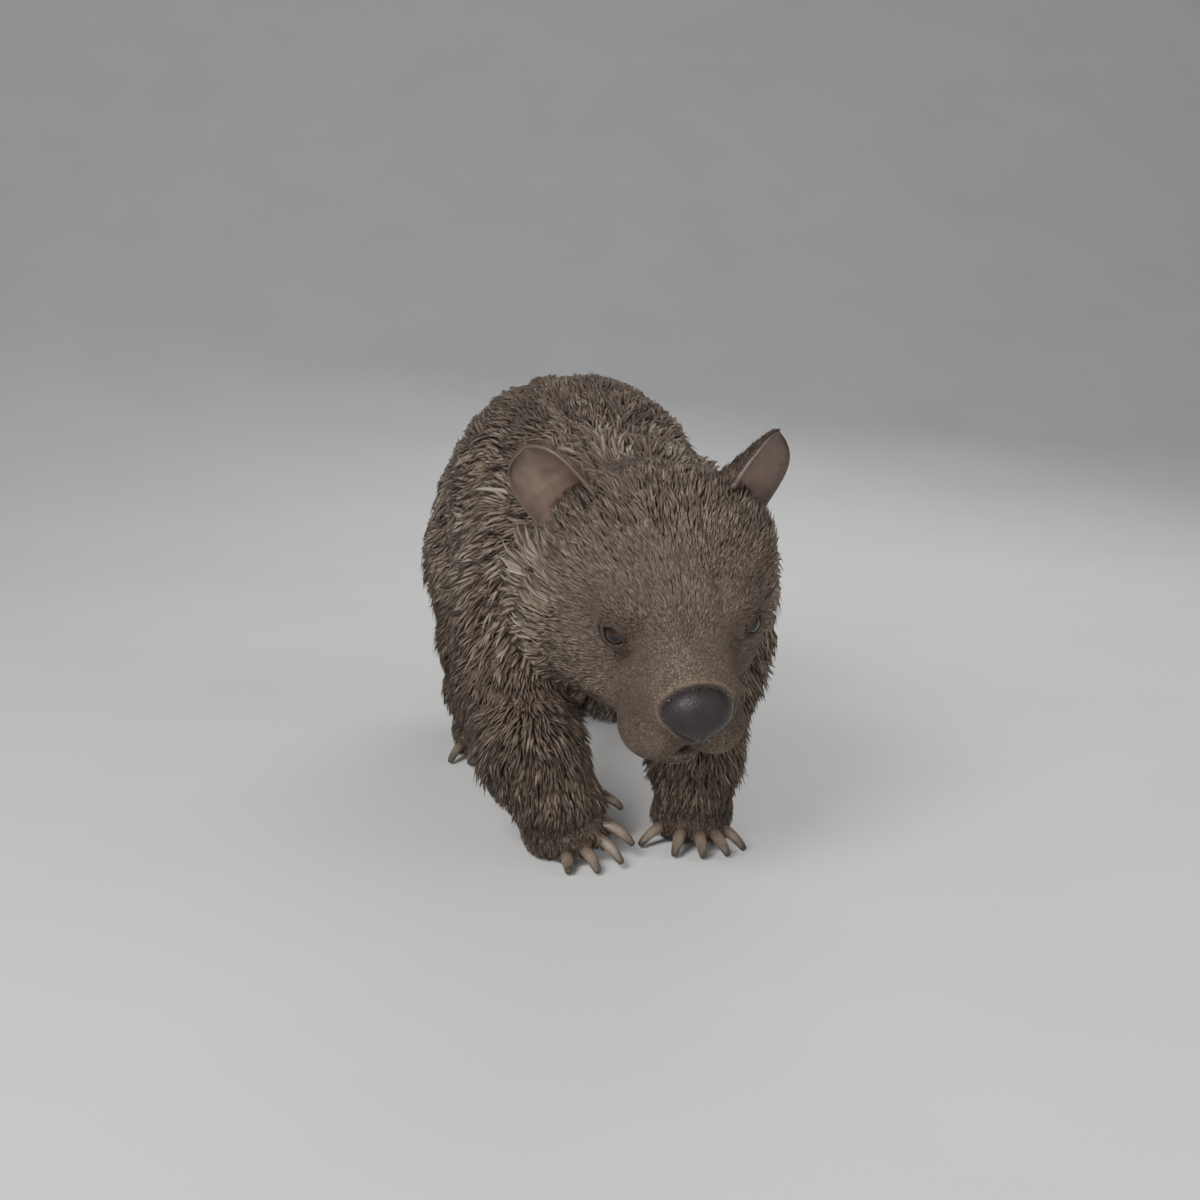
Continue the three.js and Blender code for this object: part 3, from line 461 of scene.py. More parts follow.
def eye_axes(side):
    """The way out of an eye's opening, the way to its back corner and the way up it."""
    outward = unit(np.array((side * 0.66, -0.73, 0.17)))
    along = np.array((side * 0.73, 0.66, 0.13))
    along = unit(along - along @ outward * outward)
    return outward, along, np.cross(outward, along) * side


def eye_opening(local, side):
    """How far from the middle of an eye's opening a place is seen from the eyeball's centre, its
    rim at 1, how far out along the opening's own way the place lies, and how far away."""
    outward, along, upward = eye_axes(side)
    off = local - np.array(EYE_AT, np.float32) * (side, 1, 1)
    ahead = off @ outward
    level = np.maximum(ahead, 0.0004)
    wide, high = EYE_OPENING
    opening = np.hypot((off @ along) / level / wide, (off @ upward) / level / high)
    return opening, ahead, np.linalg.norm(off, axis=-1)


def nose_narrow(height):
    """The nose pad's width at a height of its own from -1 to 1, as a share of its full width."""
    return 1.02 - 0.36 * smooth_step(0.2, -1.0, height)


def nose_gap(local):
    """The distance to the nose pad: an ellipsoid narrowed and drawn out below."""
    off = local - np.array(NOSE_AT, np.float32)
    height = np.where(off[..., 2] < 0, off[..., 2] / NOSE_DROP, off[..., 2])
    wide = off[..., 0] / nose_narrow(height / NOSE_SIZE[2])
    return ellipsoid(np.stack((wide, off[..., 1], height), -1), (0, 0, 0), NOSE_SIZE)


def stretched(ends, steps):
    """Marks between the ends of each stretch, evenly spaced at near its own step."""
    marks = [np.linspace(low, high, int((high - low) / step) + 1)[:-1]
             for low, high, step in zip(ends, ends[1:], steps)]
    return np.concatenate((*marks, ends[-1:]))


def surface_net(field, lines):
    """A closed net of quads round the inside of a field on a grid of lines: one point in each
    cell the surface crosses, at the mean of its crossings, one quad across each cut edge."""
    grid = np.stack(np.meshgrid(*lines, indexing="ij"), -1).astype(np.float32)
    values = np.empty(grid.shape[:3], np.float32)
    for start in range(0, len(lines[0]), 12):
        values[start:start + 12] = field(grid[start:start + 12])
    inside = values < 0
    corners = [(i, j, k) for i in (0, 1) for j in (0, 1) for k in (0, 1)]
    count = sum(inside[i:i + inside.shape[0] - 1, j:j + inside.shape[1] - 1,
                       k:k + inside.shape[2] - 1].astype(np.int8) for i, j, k in corners)
    cells = np.argwhere((count > 0) & (count < 8))
    number = np.full(count.shape, -1, np.int64)
    number[tuple(cells.T)] = np.arange(len(cells))
    total = np.zeros((len(cells), 3))
    crossings = np.zeros(len(cells))
    for corner in corners:
        for axis in range(3):
            if corner[axis]:
                continue
            first = cells + corner
            second = first.copy()
            second[:, axis] += 1
            a = values[tuple(first.T)]
            b = values[tuple(second.T)]
            cut = (a < 0) != (b < 0)
            t = np.where(cut, a / np.where(cut, a - b, 1), 0)
            for other in range(3):
                start = lines[other][first[:, other]]
                end = lines[other][second[:, other]]
                total[:, other] += np.where(cut, start + t * (end - start), 0)
            crossings += cut
    points = total / crossings[:, None]
    quads = []
    for axis in range(3):
        here = [slice(1, -1)] * 3
        there = [slice(1, -1)] * 3
        here[axis] = slice(0, -1)
        there[axis] = slice(1, None)
        first = inside[tuple(here)]
        cut = first != inside[tuple(there)]
        at = np.argwhere(cut) + [int(other != axis) for other in range(3)]
        u, v = (axis + 1) % 3, (axis + 2) % 3
        ring = []
        for du, dv in ((1, 1), (0, 1), (0, 0), (1, 0)):
            cell = at.copy()
            cell[:, u] -= du
            cell[:, v] -= dv
            ring.append(number[tuple(cell.T)])
        quad = np.stack(ring, 1)
        outward = ~first[cut]
        quad[outward] = quad[outward][:, ::-1]
        quads.append(quad)
    return points, np.concatenate(quads)


def make_piece(name, points, faces, packed=False):
    """A mesh object from an array of points and an array of faces with equal corner counts."""
    points = np.asarray(points, np.float32).reshape(-1, 3)
    if not packed:
        points = points + ORIGIN.astype(np.float32)
    faces = np.asarray(faces, np.int32)
    corners = faces.shape[1]
    mesh = bpy.data.meshes.new(name)
    mesh.vertices.add(len(points))
    mesh.vertices.foreach_set("co", points.ravel())
    mesh.loops.add(faces.size)
    mesh.loops.foreach_set("vertex_index", faces.ravel())
    mesh.polygons.add(len(faces))
    mesh.polygons.foreach_set("loop_start", np.arange(0, faces.size, corners, dtype=np.int32))
    mesh.polygons.foreach_set("use_smooth", np.full(len(faces), True))
    mesh.update(calc_edges=True)
    mesh.validate()
    piece = bpy.data.objects.new(name, mesh)
    bpy.context.scene.collection.objects.link(piece)
    return piece


def point_values(piece, name, values):
    """Stores one number for each point of a piece, for its material to read."""
    layer = piece.data.attributes.new(name, "FLOAT", "POINT")
    layer.data.foreach_set("value", np.asarray(values, np.float32).ravel())


def corner_map(piece, name, places):
    """Stores a UV map from one place for each point of a piece."""
    layer = piece.data.uv_layers.new(name=name)
    corner = np.empty(len(piece.data.loops), np.int32)
    piece.data.loops.foreach_get("vertex_index", corner)
    layer.data.foreach_set("uv", np.asarray(places, np.float32)[corner].ravel())


def grid_faces(rows, columns, closed=True):
    """Quads between the rows of a grid of points; closed joins the last column to the first."""
    row, column = np.meshgrid(np.arange(rows - 1), np.arange(columns if closed else columns - 1),
                              indexing="ij")
    after = (column + 1) % columns
    return np.stack((row * columns + column, row * columns + after,
                     (row + 1) * columns + after, (row + 1) * columns + column), -1).reshape(-1, 4)


def round_piece(name, *sheets):
    """One piece from grids of points, each closed round its rows."""
    faces = []
    count = 0
    for sheet in sheets:
        faces.append(grid_faces(*sheet.shape[:2]) + count)
        count += sheet[..., 0].size
    points = np.concatenate([sheet.reshape(-1, 3) for sheet in sheets])
    return make_piece(name, points, np.concatenate(faces))


def finish_piece(piece, slot, material, *nodes):
    """Gives a piece its material and the body it rides on, and hides the solids it stands for."""
    piece.data.materials.append(material)
    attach(piece, "root")
    if nodes:
        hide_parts(*nodes)
    return piece


# Shader maths
class Value:
    """A shader socket that takes part in Python sums."""

    def __init__(self, tree, socket):
        self.tree = tree
        self.socket = socket

    def maths(self, operation, first, second=0.0):
        return self.tree.node("ShaderNodeMath", {"operation": operation}, {0: first, 1: second})

    def __add__(self, other):
        return self.maths("ADD", self, other)

    def __radd__(self, other):
        return self.maths("ADD", other, self)

    def __sub__(self, other):
        return self.maths("SUBTRACT", self, other)

    def __rsub__(self, other):
        return self.maths("SUBTRACT", other, self)

    def __mul__(self, other):
        return self.maths("MULTIPLY", self, other)


class Finish:
    """A material's node tree, and the one way to add nodes to it."""

    def __init__(self, name, **constants):
        self.material = bpy.data.materials.new(name)
        self.material.use_nodes = True
        self.nodes = self.material.node_tree.nodes
        self.links = self.material.node_tree.links
        self.shader = self.nodes["Principled BSDF"]
        for socket, value in constants.items():
            self.shader.inputs[socket.replace("_", " ")].default_value = value

    def node(self, kind, settings=None, inputs=None, output=0):
        """Adds a node, sets it up and then fills its sockets with values or links."""
        node = self.nodes.new(kind)
        for name, value in (settings or {}).items():
            if name == "stops":
                while len(node.color_ramp.elements) < len(value):
                    node.color_ramp.elements.new(0.5)
                for element, (place, colour) in zip(node.color_ramp.elements, value):
                    element.position = place
                    element.color = (*colour[:3], 1.0)
            else:
                setattr(node, name, value)
        for name, value in (inputs or {}).items():
            if isinstance(value, Value):
                self.links.new(value.socket, node.inputs[name])
            else:
                node.inputs[name].default_value = value
        return Value(self, node.outputs[output])

    def feed(self, **sockets):
        """Links values to the shader's own sockets."""
        for socket, value in sockets.items():
            self.links.new(value.socket, self.shader.inputs[socket.replace("_", " ")])

    def place(self):
        return self.node("ShaderNodeTexCoord", output="Object")

    def attribute(self, name):
        return self.node("ShaderNodeAttribute", {"attribute_name": name}, output="Fac")

    def noise(self, place, scale, detail=3.0):
        return self.node("ShaderNodeTexNoise", None,
                         {"Vector": place, "Scale": scale, "Detail": detail}, "Fac")

    def ramp(self, value, *stops):
        return self.node("ShaderNodeValToRGB", {"stops": stops}, {"Fac": value}, "Color")

    def mixed(self, share, first, second):
        return self.node("ShaderNodeMix", {"data_type": "RGBA"}, {0: share, 6: first, 7: second}, 2)

    def bump(self, height, distance, strength=1.0):
        return self.node("ShaderNodeBump", None,
                         {"Height": height, "Distance": distance, "Strength": strength}, "Normal")


def fur_finish(name, strand):
    """Fur: brown from dark roots to pale tips by the stored shade, mottled, with fine strands."""
    user = bpy.context.scene.wombat_coat
    fur = Finish(name, Roughness=0.62, Specular_IOR_Level=0.28, Sheen_Weight=0.04)
    place = fur.place()
    mottle = fur.noise(place, 14.0, 4.0)
    fleck = fur.noise(place, 260.0, 2.0)
    shade = fur.attribute("shade") + (mottle - 0.5) * 0.30 + (fleck - 0.5) * 0.22
    colour = fur.ramp(shade, (0.0, user.root_colour), (0.45, user.coat_colour),
                      (1.0, user.tip_colour))
    bare = fur.attribute("bare")
    colour = fur.mixed(bare, colour, (*user.bare_colour, 1.0))
    if strand:
        map_node = fur.node("ShaderNodeUVMap", {"uv_map": "Strand"}, output="UV")
        wide = fur.node("ShaderNodeMapping", None, {"Vector": map_node, "Scale": (26, 1.4, 1)})
        hairs = fur.noise(wide, 1.0, 2.0)
        fur.feed(Normal=fur.bump(hairs, 0.0012, 0.9))
    else:
        fur.feed(Normal=fur.bump(fur.noise(place, 900.0, 2.0), 0.0006, 0.6))
    fur.feed(Base_Color=colour, Roughness=0.66 - fleck * 0.16 - bare * 0.14)
    return fur.material


def shade_at(zone, outward):
    """The markings: darker along the spine and feet, paler on cheeks, flanks and belly. The muzzle is
    painted a little paler: painted light that lifts it out of the shade under the nose.
    """
    shade = 0.50 - 0.08 * zone["back"] + 0.10 * zone["belly"] - 0.04 * zone["paw"]
    # The 0.03 on the muzzle is painted light, lifting the muzzle and lips out of the shade under the
    # overhanging nose
    shade = shade - 0.06 * zone["leg"] + 0.10 * zone["ruff"] + 0.03 * zone["muzzle"]
    shade = shade - zone["head"] * dent(zone["from_eye"], 0.10, 0.024)
    return shade + 0.05 * np.clip(-outward[..., 2], 0, 1)


def bare_at(points):
    """Where the skin is bare: round the nose pad, along the lips and at the eyes' rims."""
    local = head_local(points)
    bare = smooth_step(0.0045, 0.002, np.abs(nose_gap(local)))
    lips = line_distance(local, mouth_path()[5:-5:3])
    bare = np.maximum(bare, smooth_step(0.0085, 0.0055, lips))
    cleft = line_distance(local, metres(CREASES[0][-1]))
    bare = np.maximum(bare, smooth_step(0.006, 0.0035, cleft))
    for side in (1, -1):
        opening, ahead, away = eye_opening(local, side)
        close = (away < EYE_RADIUS + 0.006) & (ahead > 0.002)
        bare = np.maximum(bare, close * smooth_step(1.5, 1.2, opening))
    return bare


def lie_at(points, zone, outward):
    """The way the fur lies: back and down along the trunk, down the legs, from the nose up over
    the face and back along the cheeks, always along the skin."""
    ones = np.ones(len(points))
    zeros = 0 * ones
    drop = -0.20 - 0.75 * smooth_step(0.36, 0.24, points[:, 2]) - 0.5 * smooth_step(
        0.28, 0.44, points[:, 1])
    lie = np.stack((zeros, ones, drop), -1)
    down = np.stack((zeros, 0.30 - 0.75 * zone["paw"], -ones), -1)
    lie += (down - lie) * zone["leg"][:, None]
    local = head_local(points)
    side = np.sign(local[:, 0])
    low = smooth_step(0.02, -0.05, local[:, 2])
    back = np.stack((0.45 * side * smooth_step(0.0, 0.03, np.abs(local[:, 0])), ones,
                     0.25 - 0.75 * low), -1)
    lie += (back @ HEAD_MATRIX.T - lie) * zone["head"][:, None]
    return unit(lie - (lie * outward).sum(-1, keepdims=True) * outward)


def unwrap(points):
    """A place on a flat map for each point: the trunk and head unrolled round their long axis,
    and each leg unrolled round its own, in a row below."""
    body, legs, head = outline_parts(points)
    angle = np.arctan2(points[:, 0] + 0.010, points[:, 2] - 0.22) / (2 * np.pi) + 0.5
    flat = np.stack((0.02 + 0.96 * (points[:, 1] + 0.47) / 0.94, 0.36 + 0.62 * angle), -1)
    on_leg = legs < np.minimum(body, head)
    nearest = np.argmin([leg_field(points, leg) for leg in LEGS.values()], axis=0)
    for index, leg in enumerate(LEGS.values()):
        middle = np.mean([joint[:2] for joint in leg["joints"]], axis=0)
        turn = np.arctan2(points[:, 0] - middle[0], points[:, 1] - middle[1]) / (2 * np.pi) + 0.5
        chart = np.stack((0.02 + 0.245 * index + 0.22 * turn, 0.02 + 1.4 * points[:, 2]), -1)
        chosen = on_leg & (nearest == index)
        flat[chosen] = chart[chosen]
    return np.clip(flat, 0.005, 0.99)


def root_points(points, quads, density, count, draw):
    """Random places on a skin of quads, each quad drawn in proportion to its area and density."""
    corners = points[quads]
    cross = np.cross(corners[:, 2] - corners[:, 0], corners[:, 3] - corners[:, 1])
    weight = np.linalg.norm(cross, axis=1) * density
    total = np.cumsum(weight)
    chosen = np.searchsorted(total, (np.arange(count) + draw.random(count)) / count * total[-1])
    chosen = np.clip(chosen, 0, len(quads) - 1)
    u, v = draw.random((2, count, 1))
    a, b, c, d = (corners[chosen, n] for n in range(4))
    return (a * (1 - u) + b * u) * (1 - v) + (d * (1 - u) + c * u) * v


def nearest_of(points, seeds):
    """The number of the nearest seed to each point, in blocks of 2,000 points."""
    found = np.empty(len(points), np.int64)
    length = (seeds * seeds).sum(1)
    for start in range(0, len(points), 2000):
        block = points[start:start + 2000]
        found[start:start + 2000] = np.argmin(length - 2 * block @ seeds.T, axis=1)
    return found


def tufts(roots, rings, clump_spacing, draw, shaggy):
    """Tapered three-sided blades as points and per-point values. A blade's centre at share
    s of its length is root + lie L s + outward H (1 - (1 - s)2), leaning to its clump's tip by
    s2; its half width falls from full at a third to nothing at its tip. What reaches more than
    SIDE_REACH past the solids' sides is pressed in by SIDE_PRESS of the rest."""
    outward = slope(roots, outline)
    zone = zones(roots)
    lie = lie_at(roots, zone, outward)
    aside = np.cross(outward, lie)
    length = tuft_length(zone) * (1 + 0.25 * draw.standard_normal(len(roots)).clip(-1.6, 1.6))
    loose = 1 - zone["face"]
    lean = (0.05 + 0.11 * loose[:, None]) * draw.standard_normal((len(roots), 1))
    lie = unit(lie + aside * lean)
    aside = np.cross(outward, lie)
    rise = coat_depth(zone) * (0.85 + 0.3 * draw.random(len(roots)))
    rise = rise * (1 - 0.45 * zone["muzzle"]) + 0.011 * ruff_edges(zone)
    clump_count = min(int(clump_spacing ** -2), len(roots) // 5)
    clump = roots[draw.integers(0, len(roots), clump_count)]
    own = nearest_of(roots.astype(np.float32), clump.astype(np.float32))
    centre = clump[own]
    clump_turn = draw.standard_normal(len(clump))[own]
    clump_rise = draw.random(len(clump))[own]
    clump_shade = draw.standard_normal(len(clump))[own]
    rise = rise * (1 + shaggy * loose * 1.1 * (clump_rise - 0.35))
    length = length * (1 + shaggy * loose * 0.5 * (clump_rise - 0.5))
    pull = (centre - roots) * (0.88 * shaggy * loose)[:, None]
    pull += aside * (clump_turn * 0.22 * length * shaggy * loose)[:, None]
    half = 0.5 * (0.0006 + 0.11 * length) * (0.8 + 0.4 * draw.random(len(roots)))
    blade = []
    values = []
    for share in np.linspace(0, 1, rings + 1):
        height = rise * (1 - (1 - share) ** 2) - 0.0015 * (share == 0)
        at = roots + lie * (length * share)[:, None] + outward * height[:, None]
        at = at + pull * share ** 2
        width = half * np.interp(share, (0, 0.33, 0.7, 1.0), (0.8, 1.0, 0.66, 0.0))
        around = (aside, -aside, outward * 0.45)
        ring = [at + way * width[:, None] for way in around]
        blade.append(np.stack(ring if share < 1 else [at], 1))
        values.append(np.full((len(roots), 3 if share < 1 else 1), share))
    blade = np.concatenate(blade, 1)
    blade[..., 2] = np.maximum(blade[..., 2], 0.0004)
    aside_at = blade[..., 0] + ORIGIN[0]
    over = np.maximum(np.abs(aside_at) - solid_box[1][0] - SIDE_REACH, 0)
    blade[..., 0] -= np.sign(aside_at) * over * SIDE_PRESS
    share = np.concatenate(values, 1)
    tone = shade_at(zone, outward) + 0.085 * clump_shade * loose
    tone = tone + 0.07 * draw.standard_normal(len(roots))
    shade = tone[:, None] - 0.30 * (1 - share) ** 1.5 + 0.10 * share ** 2
    across = np.array([(0.0, 1.0, 0.5)[n % 3] for n in range(3 * rings)] + [0.5])
    strand = np.stack((np.broadcast_to(across, share.shape) + draw.random((len(roots), 1)) * 40,
                       share), -1)
    home = unwrap(roots.astype(np.float32))
    patch = np.stack((np.broadcast_to(across - 0.5, share.shape), share - 0.5), -1) * 0.003
    return blade, shade, strand, home[:, None] + patch


def coat_piece(name, blade, shade, strand, home, material):
    """One piece of coat from its blades' points: rings of three and a tip to each blade."""
    count, per = blade.shape[:2]
    base = []
    for ring in range(0, per - 4, 3):
        for side in range(3):
            a, b = ring + side, ring + (side + 1) % 3
            base += [(a, b + 3, b), (a, a + 3, b + 3)]
    base += [(per - 4 + side, per - 1, per - 4 + (side + 1) % 3) for side in range(3)]
    faces = np.array(base)[None] + (np.arange(count) * per)[:, None, None]
    piece = make_piece(name, blade, faces.reshape(-1, 3))
    point_values(piece, "shade", shade)
    point_values(piece, "bare", np.zeros(shade.size))
    corner_map(piece, "OFBake", home.reshape(-1, 2))
    corner_map(piece, "Strand", strand.reshape(-1, 2))
    finish_piece(piece, "coat", material)


def build_coat(name, roots, rings, clump_spacing, draw, shaggy, material):
    """Makes the coat's pieces, each of at most PIECE_TUFTS tufts of three rings or more."""
    roots = roots[np.argsort(roots[:, 1], kind="stable")]
    room = int(PIECE_TUFTS * 15 / (6 * rings - 3))
    for start in range(0, len(roots), room):
        parts = tufts(roots[start:start + room], rings, clump_spacing, draw, shaggy)
        coat_piece(f"{name}_{start // room + 1}", *parts, material)


SKIN = {}


def colour_setting(name, text, colour):
    """A colour that can be set in the panel."""
    return FloatVectorProperty(name=name, description=text, subtype="COLOR", size=3, min=0, max=1,
                               default=colour)


class WombatCoatSettings(bpy.types.PropertyGroup):
    """The coat's colours and how many tufts it has"""

    coat_colour: colour_setting(
        "Coat", "Colour of the fur half way up its length", (0.150, 0.110, 0.079))
    root_colour: colour_setting(
        "Roots", "Colour of the fur at its roots", (0.030, 0.022, 0.017))
    tip_colour: colour_setting(
        "Tips", "Colour of the palest tips", (0.46, 0.38, 0.295))
    bare_colour: colour_setting(
        "Bare skin", "Colour of the skin at the lips and the eyes' rims", (0.030, 0.023, 0.021))
    long_tufts: IntProperty(
        name="Long tufts", description="Tufts on the trunk and neck", default=50000, min=1000)
    short_tufts: IntProperty(
        name="Short tufts", description="Tufts on the head and legs", default=77000, min=1000)
    skin_cell: FloatProperty(
        name="Skin cell", description="Spacing of the skin's points on the head",
        subtype="DISTANCE", unit="LENGTH", default=0.0026, min=0.002)


class WombatFaceSettings(bpy.types.PropertyGroup):
    """The eyes', nose's and claws' colours and sizes"""

    iris_colour: colour_setting(
        "Iris", "Colour of the eyes' iris", (0.020, 0.010, 0.006))
    nose_colour: colour_setting(
        "Nose", "Colour of the bare nose pad", (0.013, 0.010, 0.010))
    claw_colour: colour_setting(
        "Claws", "Colour of the claws' horn", (0.062, 0.047, 0.035))
    lid_thickness: FloatProperty(
        name="Lid thickness", description="Half thickness of an eyelid at its middle",
        subtype="DISTANCE", unit="LENGTH", default=0.0036, min=0.001)


class OBJECT_OT_wombat_skin(bpy.types.Operator):
    """Nets the smooth skin of trunk, head and legs, with the folds of the face"""

    bl_idname = "object.wombat_skin"
    bl_label = "Skin"

    def execute(self, context):
        cell = context.scene.wombat_coat.skin_cell
        lines = (stretched((-0.200, -0.084, 0.084, 0.190), (2 * cell, cell, 2 * cell)),
                 stretched((-0.465, -0.310, -0.200, 0.480), (cell, 1.8 * cell, 3 * cell)),
                 stretched((-0.004, 0.100, 0.262, 0.424), (1.8 * cell, cell, 2 * cell)))
        points, quads = surface_net(skin_field, lines)
        points[:, 2] = np.maximum(points[:, 2], 0.0006)
        single = points.astype(np.float32)
        zone = zones(single)
        SKIN.update(points=points, quads=quads, zone=zone)
        piece = make_piece("Skin", points, quads)
        point_values(piece, "shade", shade_at(zone, slope(single, outline)) - 0.22)
        point_values(piece, "bare", bare_at(single))
        finish_piece(piece, "coat", fur_finish("Short fur", False), "torso", "neck", "head",
                     "tail", *LEGS)
        return {"FINISHED"}


class OBJECT_OT_wombat_coat(bpy.types.Operator):
    """Sets the tufts of the coat on the skin"""

    bl_idname = "object.wombat_coat"
    bl_label = "Coat"

    def execute(self, context):
        user = context.scene.wombat_coat
        draw = np.random.default_rng(7)
        points, quads, zone = SKIN["points"], SKIN["quads"], SKIN["zone"]
        share = {name: values[quads[:, 0]] for name, values in zone.items()}
        bare = bare_at(points[quads[:, 0]].astype(np.float32))
        floor = smooth_step(0.004, 0.008, points[quads[:, 0], 2])
        trunk = (1 - share["head"]) * (1 - share["leg"]) * floor
        trunk = trunk + 0.8 * share["ruff"] + 3.0 * ruff_edges(share)
        fine = (share["head"] * (1 + 3.4 * share["face"]) + share["leg"] * (1 + 0.8 * share["paw"]))
        fine = fine * (1 - bare) * floor
        few = 1.0
        material = fur_finish("Long fur", True)
        long_roots = root_points(points, quads, trunk, int(user.long_tufts * few), draw)
        build_coat("Coat_long", long_roots, 3, 0.027, draw, 1.0, material)
        short_roots = root_points(points, quads, fine, int(user.short_tufts * few), draw)
        build_coat("Coat_short", short_roots, 2, 0.013, draw, 0.55, material)
        return {"FINISHED"}


class OBJECT_OT_wombat_eyes(bpy.types.Operator):
    """Makes the eyeballs and their lids"""

    bl_idname = "object.wombat_eyes"
    bl_label = "Eyes"

    def execute(self, context):
        user = context.scene.wombat_face
        glass = Finish("Eye", Roughness=0.05, Specular_IOR_Level=0.35)
        glass.feed(Base_Color=glass.ramp(glass.attribute("pupil"), (0.0, (0.004, 0.003, 0.003)),
                                         (0.42, (0.004, 0.003, 0.003)), (0.5, user.iris_colour),
                                         (0.86, user.iris_colour), (1.0, (0.012, 0.008, 0.006))))
        lids = Finish("Lids", Roughness=0.75, Specular_IOR_Level=0.18)
        wrinkle = lids.noise(lids.place(), 420.0, 4.0)
        lids.feed(Base_Color=lids.ramp(wrinkle, (0.3, (0.022, 0.016, 0.013)),
                                       (0.7, (0.055, 0.041, 0.032))),
                  Normal=lids.bump(wrinkle, 0.0006, 0.7))
        for label, side in (("right", -1), ("left", 1)):
            centre = np.array(EYE_AT) * (side, 1, 1)
            points, pupil = eyeball(centre, unit(np.array(EYE_GAZE) * (side, 1, 1)))
            ball = round_piece(f"Eye_{label}", head_place(points))
            point_values(ball, "pupil", pupil)
            finish_piece(ball, "eyes", glass.material, f"eye_{label}")
            folds = [head_place(lid_surface(side, centre, *fold)) for fold in LID_FOLDS]
            finish_piece(round_piece(f"Lids_{label}", *folds), "coat", lids.material)
        return {"FINISHED"}


def eyeball(centre, gaze):
    """A ball of rings about the gaze; within half a radian of it the cornea stands out by
    6% of (1 - (angle / 0.55)2). Also the angle from the gaze over the iris's own."""
    away = np.linspace(0, np.pi, 33)[:, None]
    round_it = np.linspace(0, 2 * np.pi, 48, endpoint=False)[None]
    first = unit(np.cross(gaze, (0, 0, 1.0)))
    second = np.cross(first, gaze)
    way = (np.cos(away)[..., None] * gaze + (np.sin(away) * np.cos(round_it))[..., None] * first
           + (np.sin(away) * np.sin(round_it))[..., None] * second)
    bulge = 1 + 0.06 * np.clip(1 - (away / 0.55) ** 2, 0, 1)
    radius = (EYE_RADIUS * bulge)[..., None]
    pupil = np.broadcast_to(np.clip(away / 0.72, 0, 1), way.shape[:2])
    return centre + way * radius, pupil


def lid_surface(side, centre, arch, slant, thick, off):
    """A crescent round the eyeball: a rounded section carried along an arch from corner to
    corner, thickest in the middle. The arch rises by (1 - t2) at share t from -1 to 1."""
    user = bpy.context.scene.wombat_face
    outward, along, upward = eye_axes(side)
    t = np.linspace(-1, 1, 25)[:, None]
    way = unit(outward + along * t * 1.05 + upward * (arch * (1 - t * t) + slant + 0.12 * t))
    half = user.lid_thickness * thick * (0.25 + 0.75 * (1 - t * t) ** 0.7)
    path = centre + way * (EYE_RADIUS + off)
    run = unit(np.gradient(path, axis=0))
    across = np.cross(run, way)
    turn = np.linspace(0, 2 * np.pi, 12, endpoint=False)
    ring = (np.cos(turn)[None, :, None] * across[:, None] * 1.15
            + np.sin(turn)[None, :, None] * way[:, None] * 0.8)
    return path[:, None] + ring * half[..., None]


class OBJECT_OT_wombat_nose(bpy.types.Operator):
    """Makes the bare nose pad with its nostrils"""

    bl_idname = "object.wombat_nose"
    bl_label = "Nose"

    def execute(self, context):
        user = context.scene.wombat_face
        skin = Finish("Nose skin", Roughness=0.45, Specular_IOR_Level=0.28)
        place = skin.place()
        pebble = skin.node("ShaderNodeTexVoronoi", {"feature": "SMOOTH_F1"},
                           {"Vector": place, "Scale": 620.0}, "Distance")
        tint = skin.noise(place, 60.0, 3.0)
        pale = tuple(min(1.0, 2.1 * value) for value in user.nose_colour)
        skin.feed(Base_Color=skin.ramp(tint, (0.3, user.nose_colour), (0.75, pale)),
                  Roughness=0.36 + tint * 0.2, Normal=skin.bump(pebble, 0.0007, 0.55))
        piece = round_piece("Nose_pad", head_place(nose_surface()))
        finish_piece(piece, "nose_skin", skin.material, "nose")
        return {"FINISHED"}


def nose_surface():
    """An ellipsoid by polar angles, pressed in at two nostrils that curl outwards and along the
    line between them."""
    polar = np.linspace(0, np.pi, 73)[:, None]
    turn = np.linspace(0, 2 * np.pi, 120, endpoint=False)[None]
    way = np.stack(np.broadcast_arrays(np.sin(polar) * np.cos(turn), -np.cos(polar) + 0 * turn,
                                       np.sin(polar) * np.sin(turn)), -1)
    height = way[..., 2]
    shaped = np.stack((way[..., 0] * nose_narrow(height), way[..., 1],
                       np.where(height < 0, height * NOSE_DROP, height)), -1)
    points = np.array(NOSE_AT) + shaped * NOSE_SIZE
    press = np.zeros(points.shape[:2])
    for side in (1, -1):
        line = np.array(((0.0100, -0.103, -0.030), (0.0150, -0.100, -0.028),
                         (0.0205, -0.095, -0.024), (0.0245, -0.089, -0.024))) * (side, 1, 1)
        press += dent(line_distance(points, line), 0.0058, 0.0040)
    middle = np.array(((0, -0.109, -0.020), (0, -0.104, -0.036), (0, -0.096, -0.042)))
    press += dent(line_distance(points, middle), 0.0016, 0.0016)
    return points - way * press[..., None]


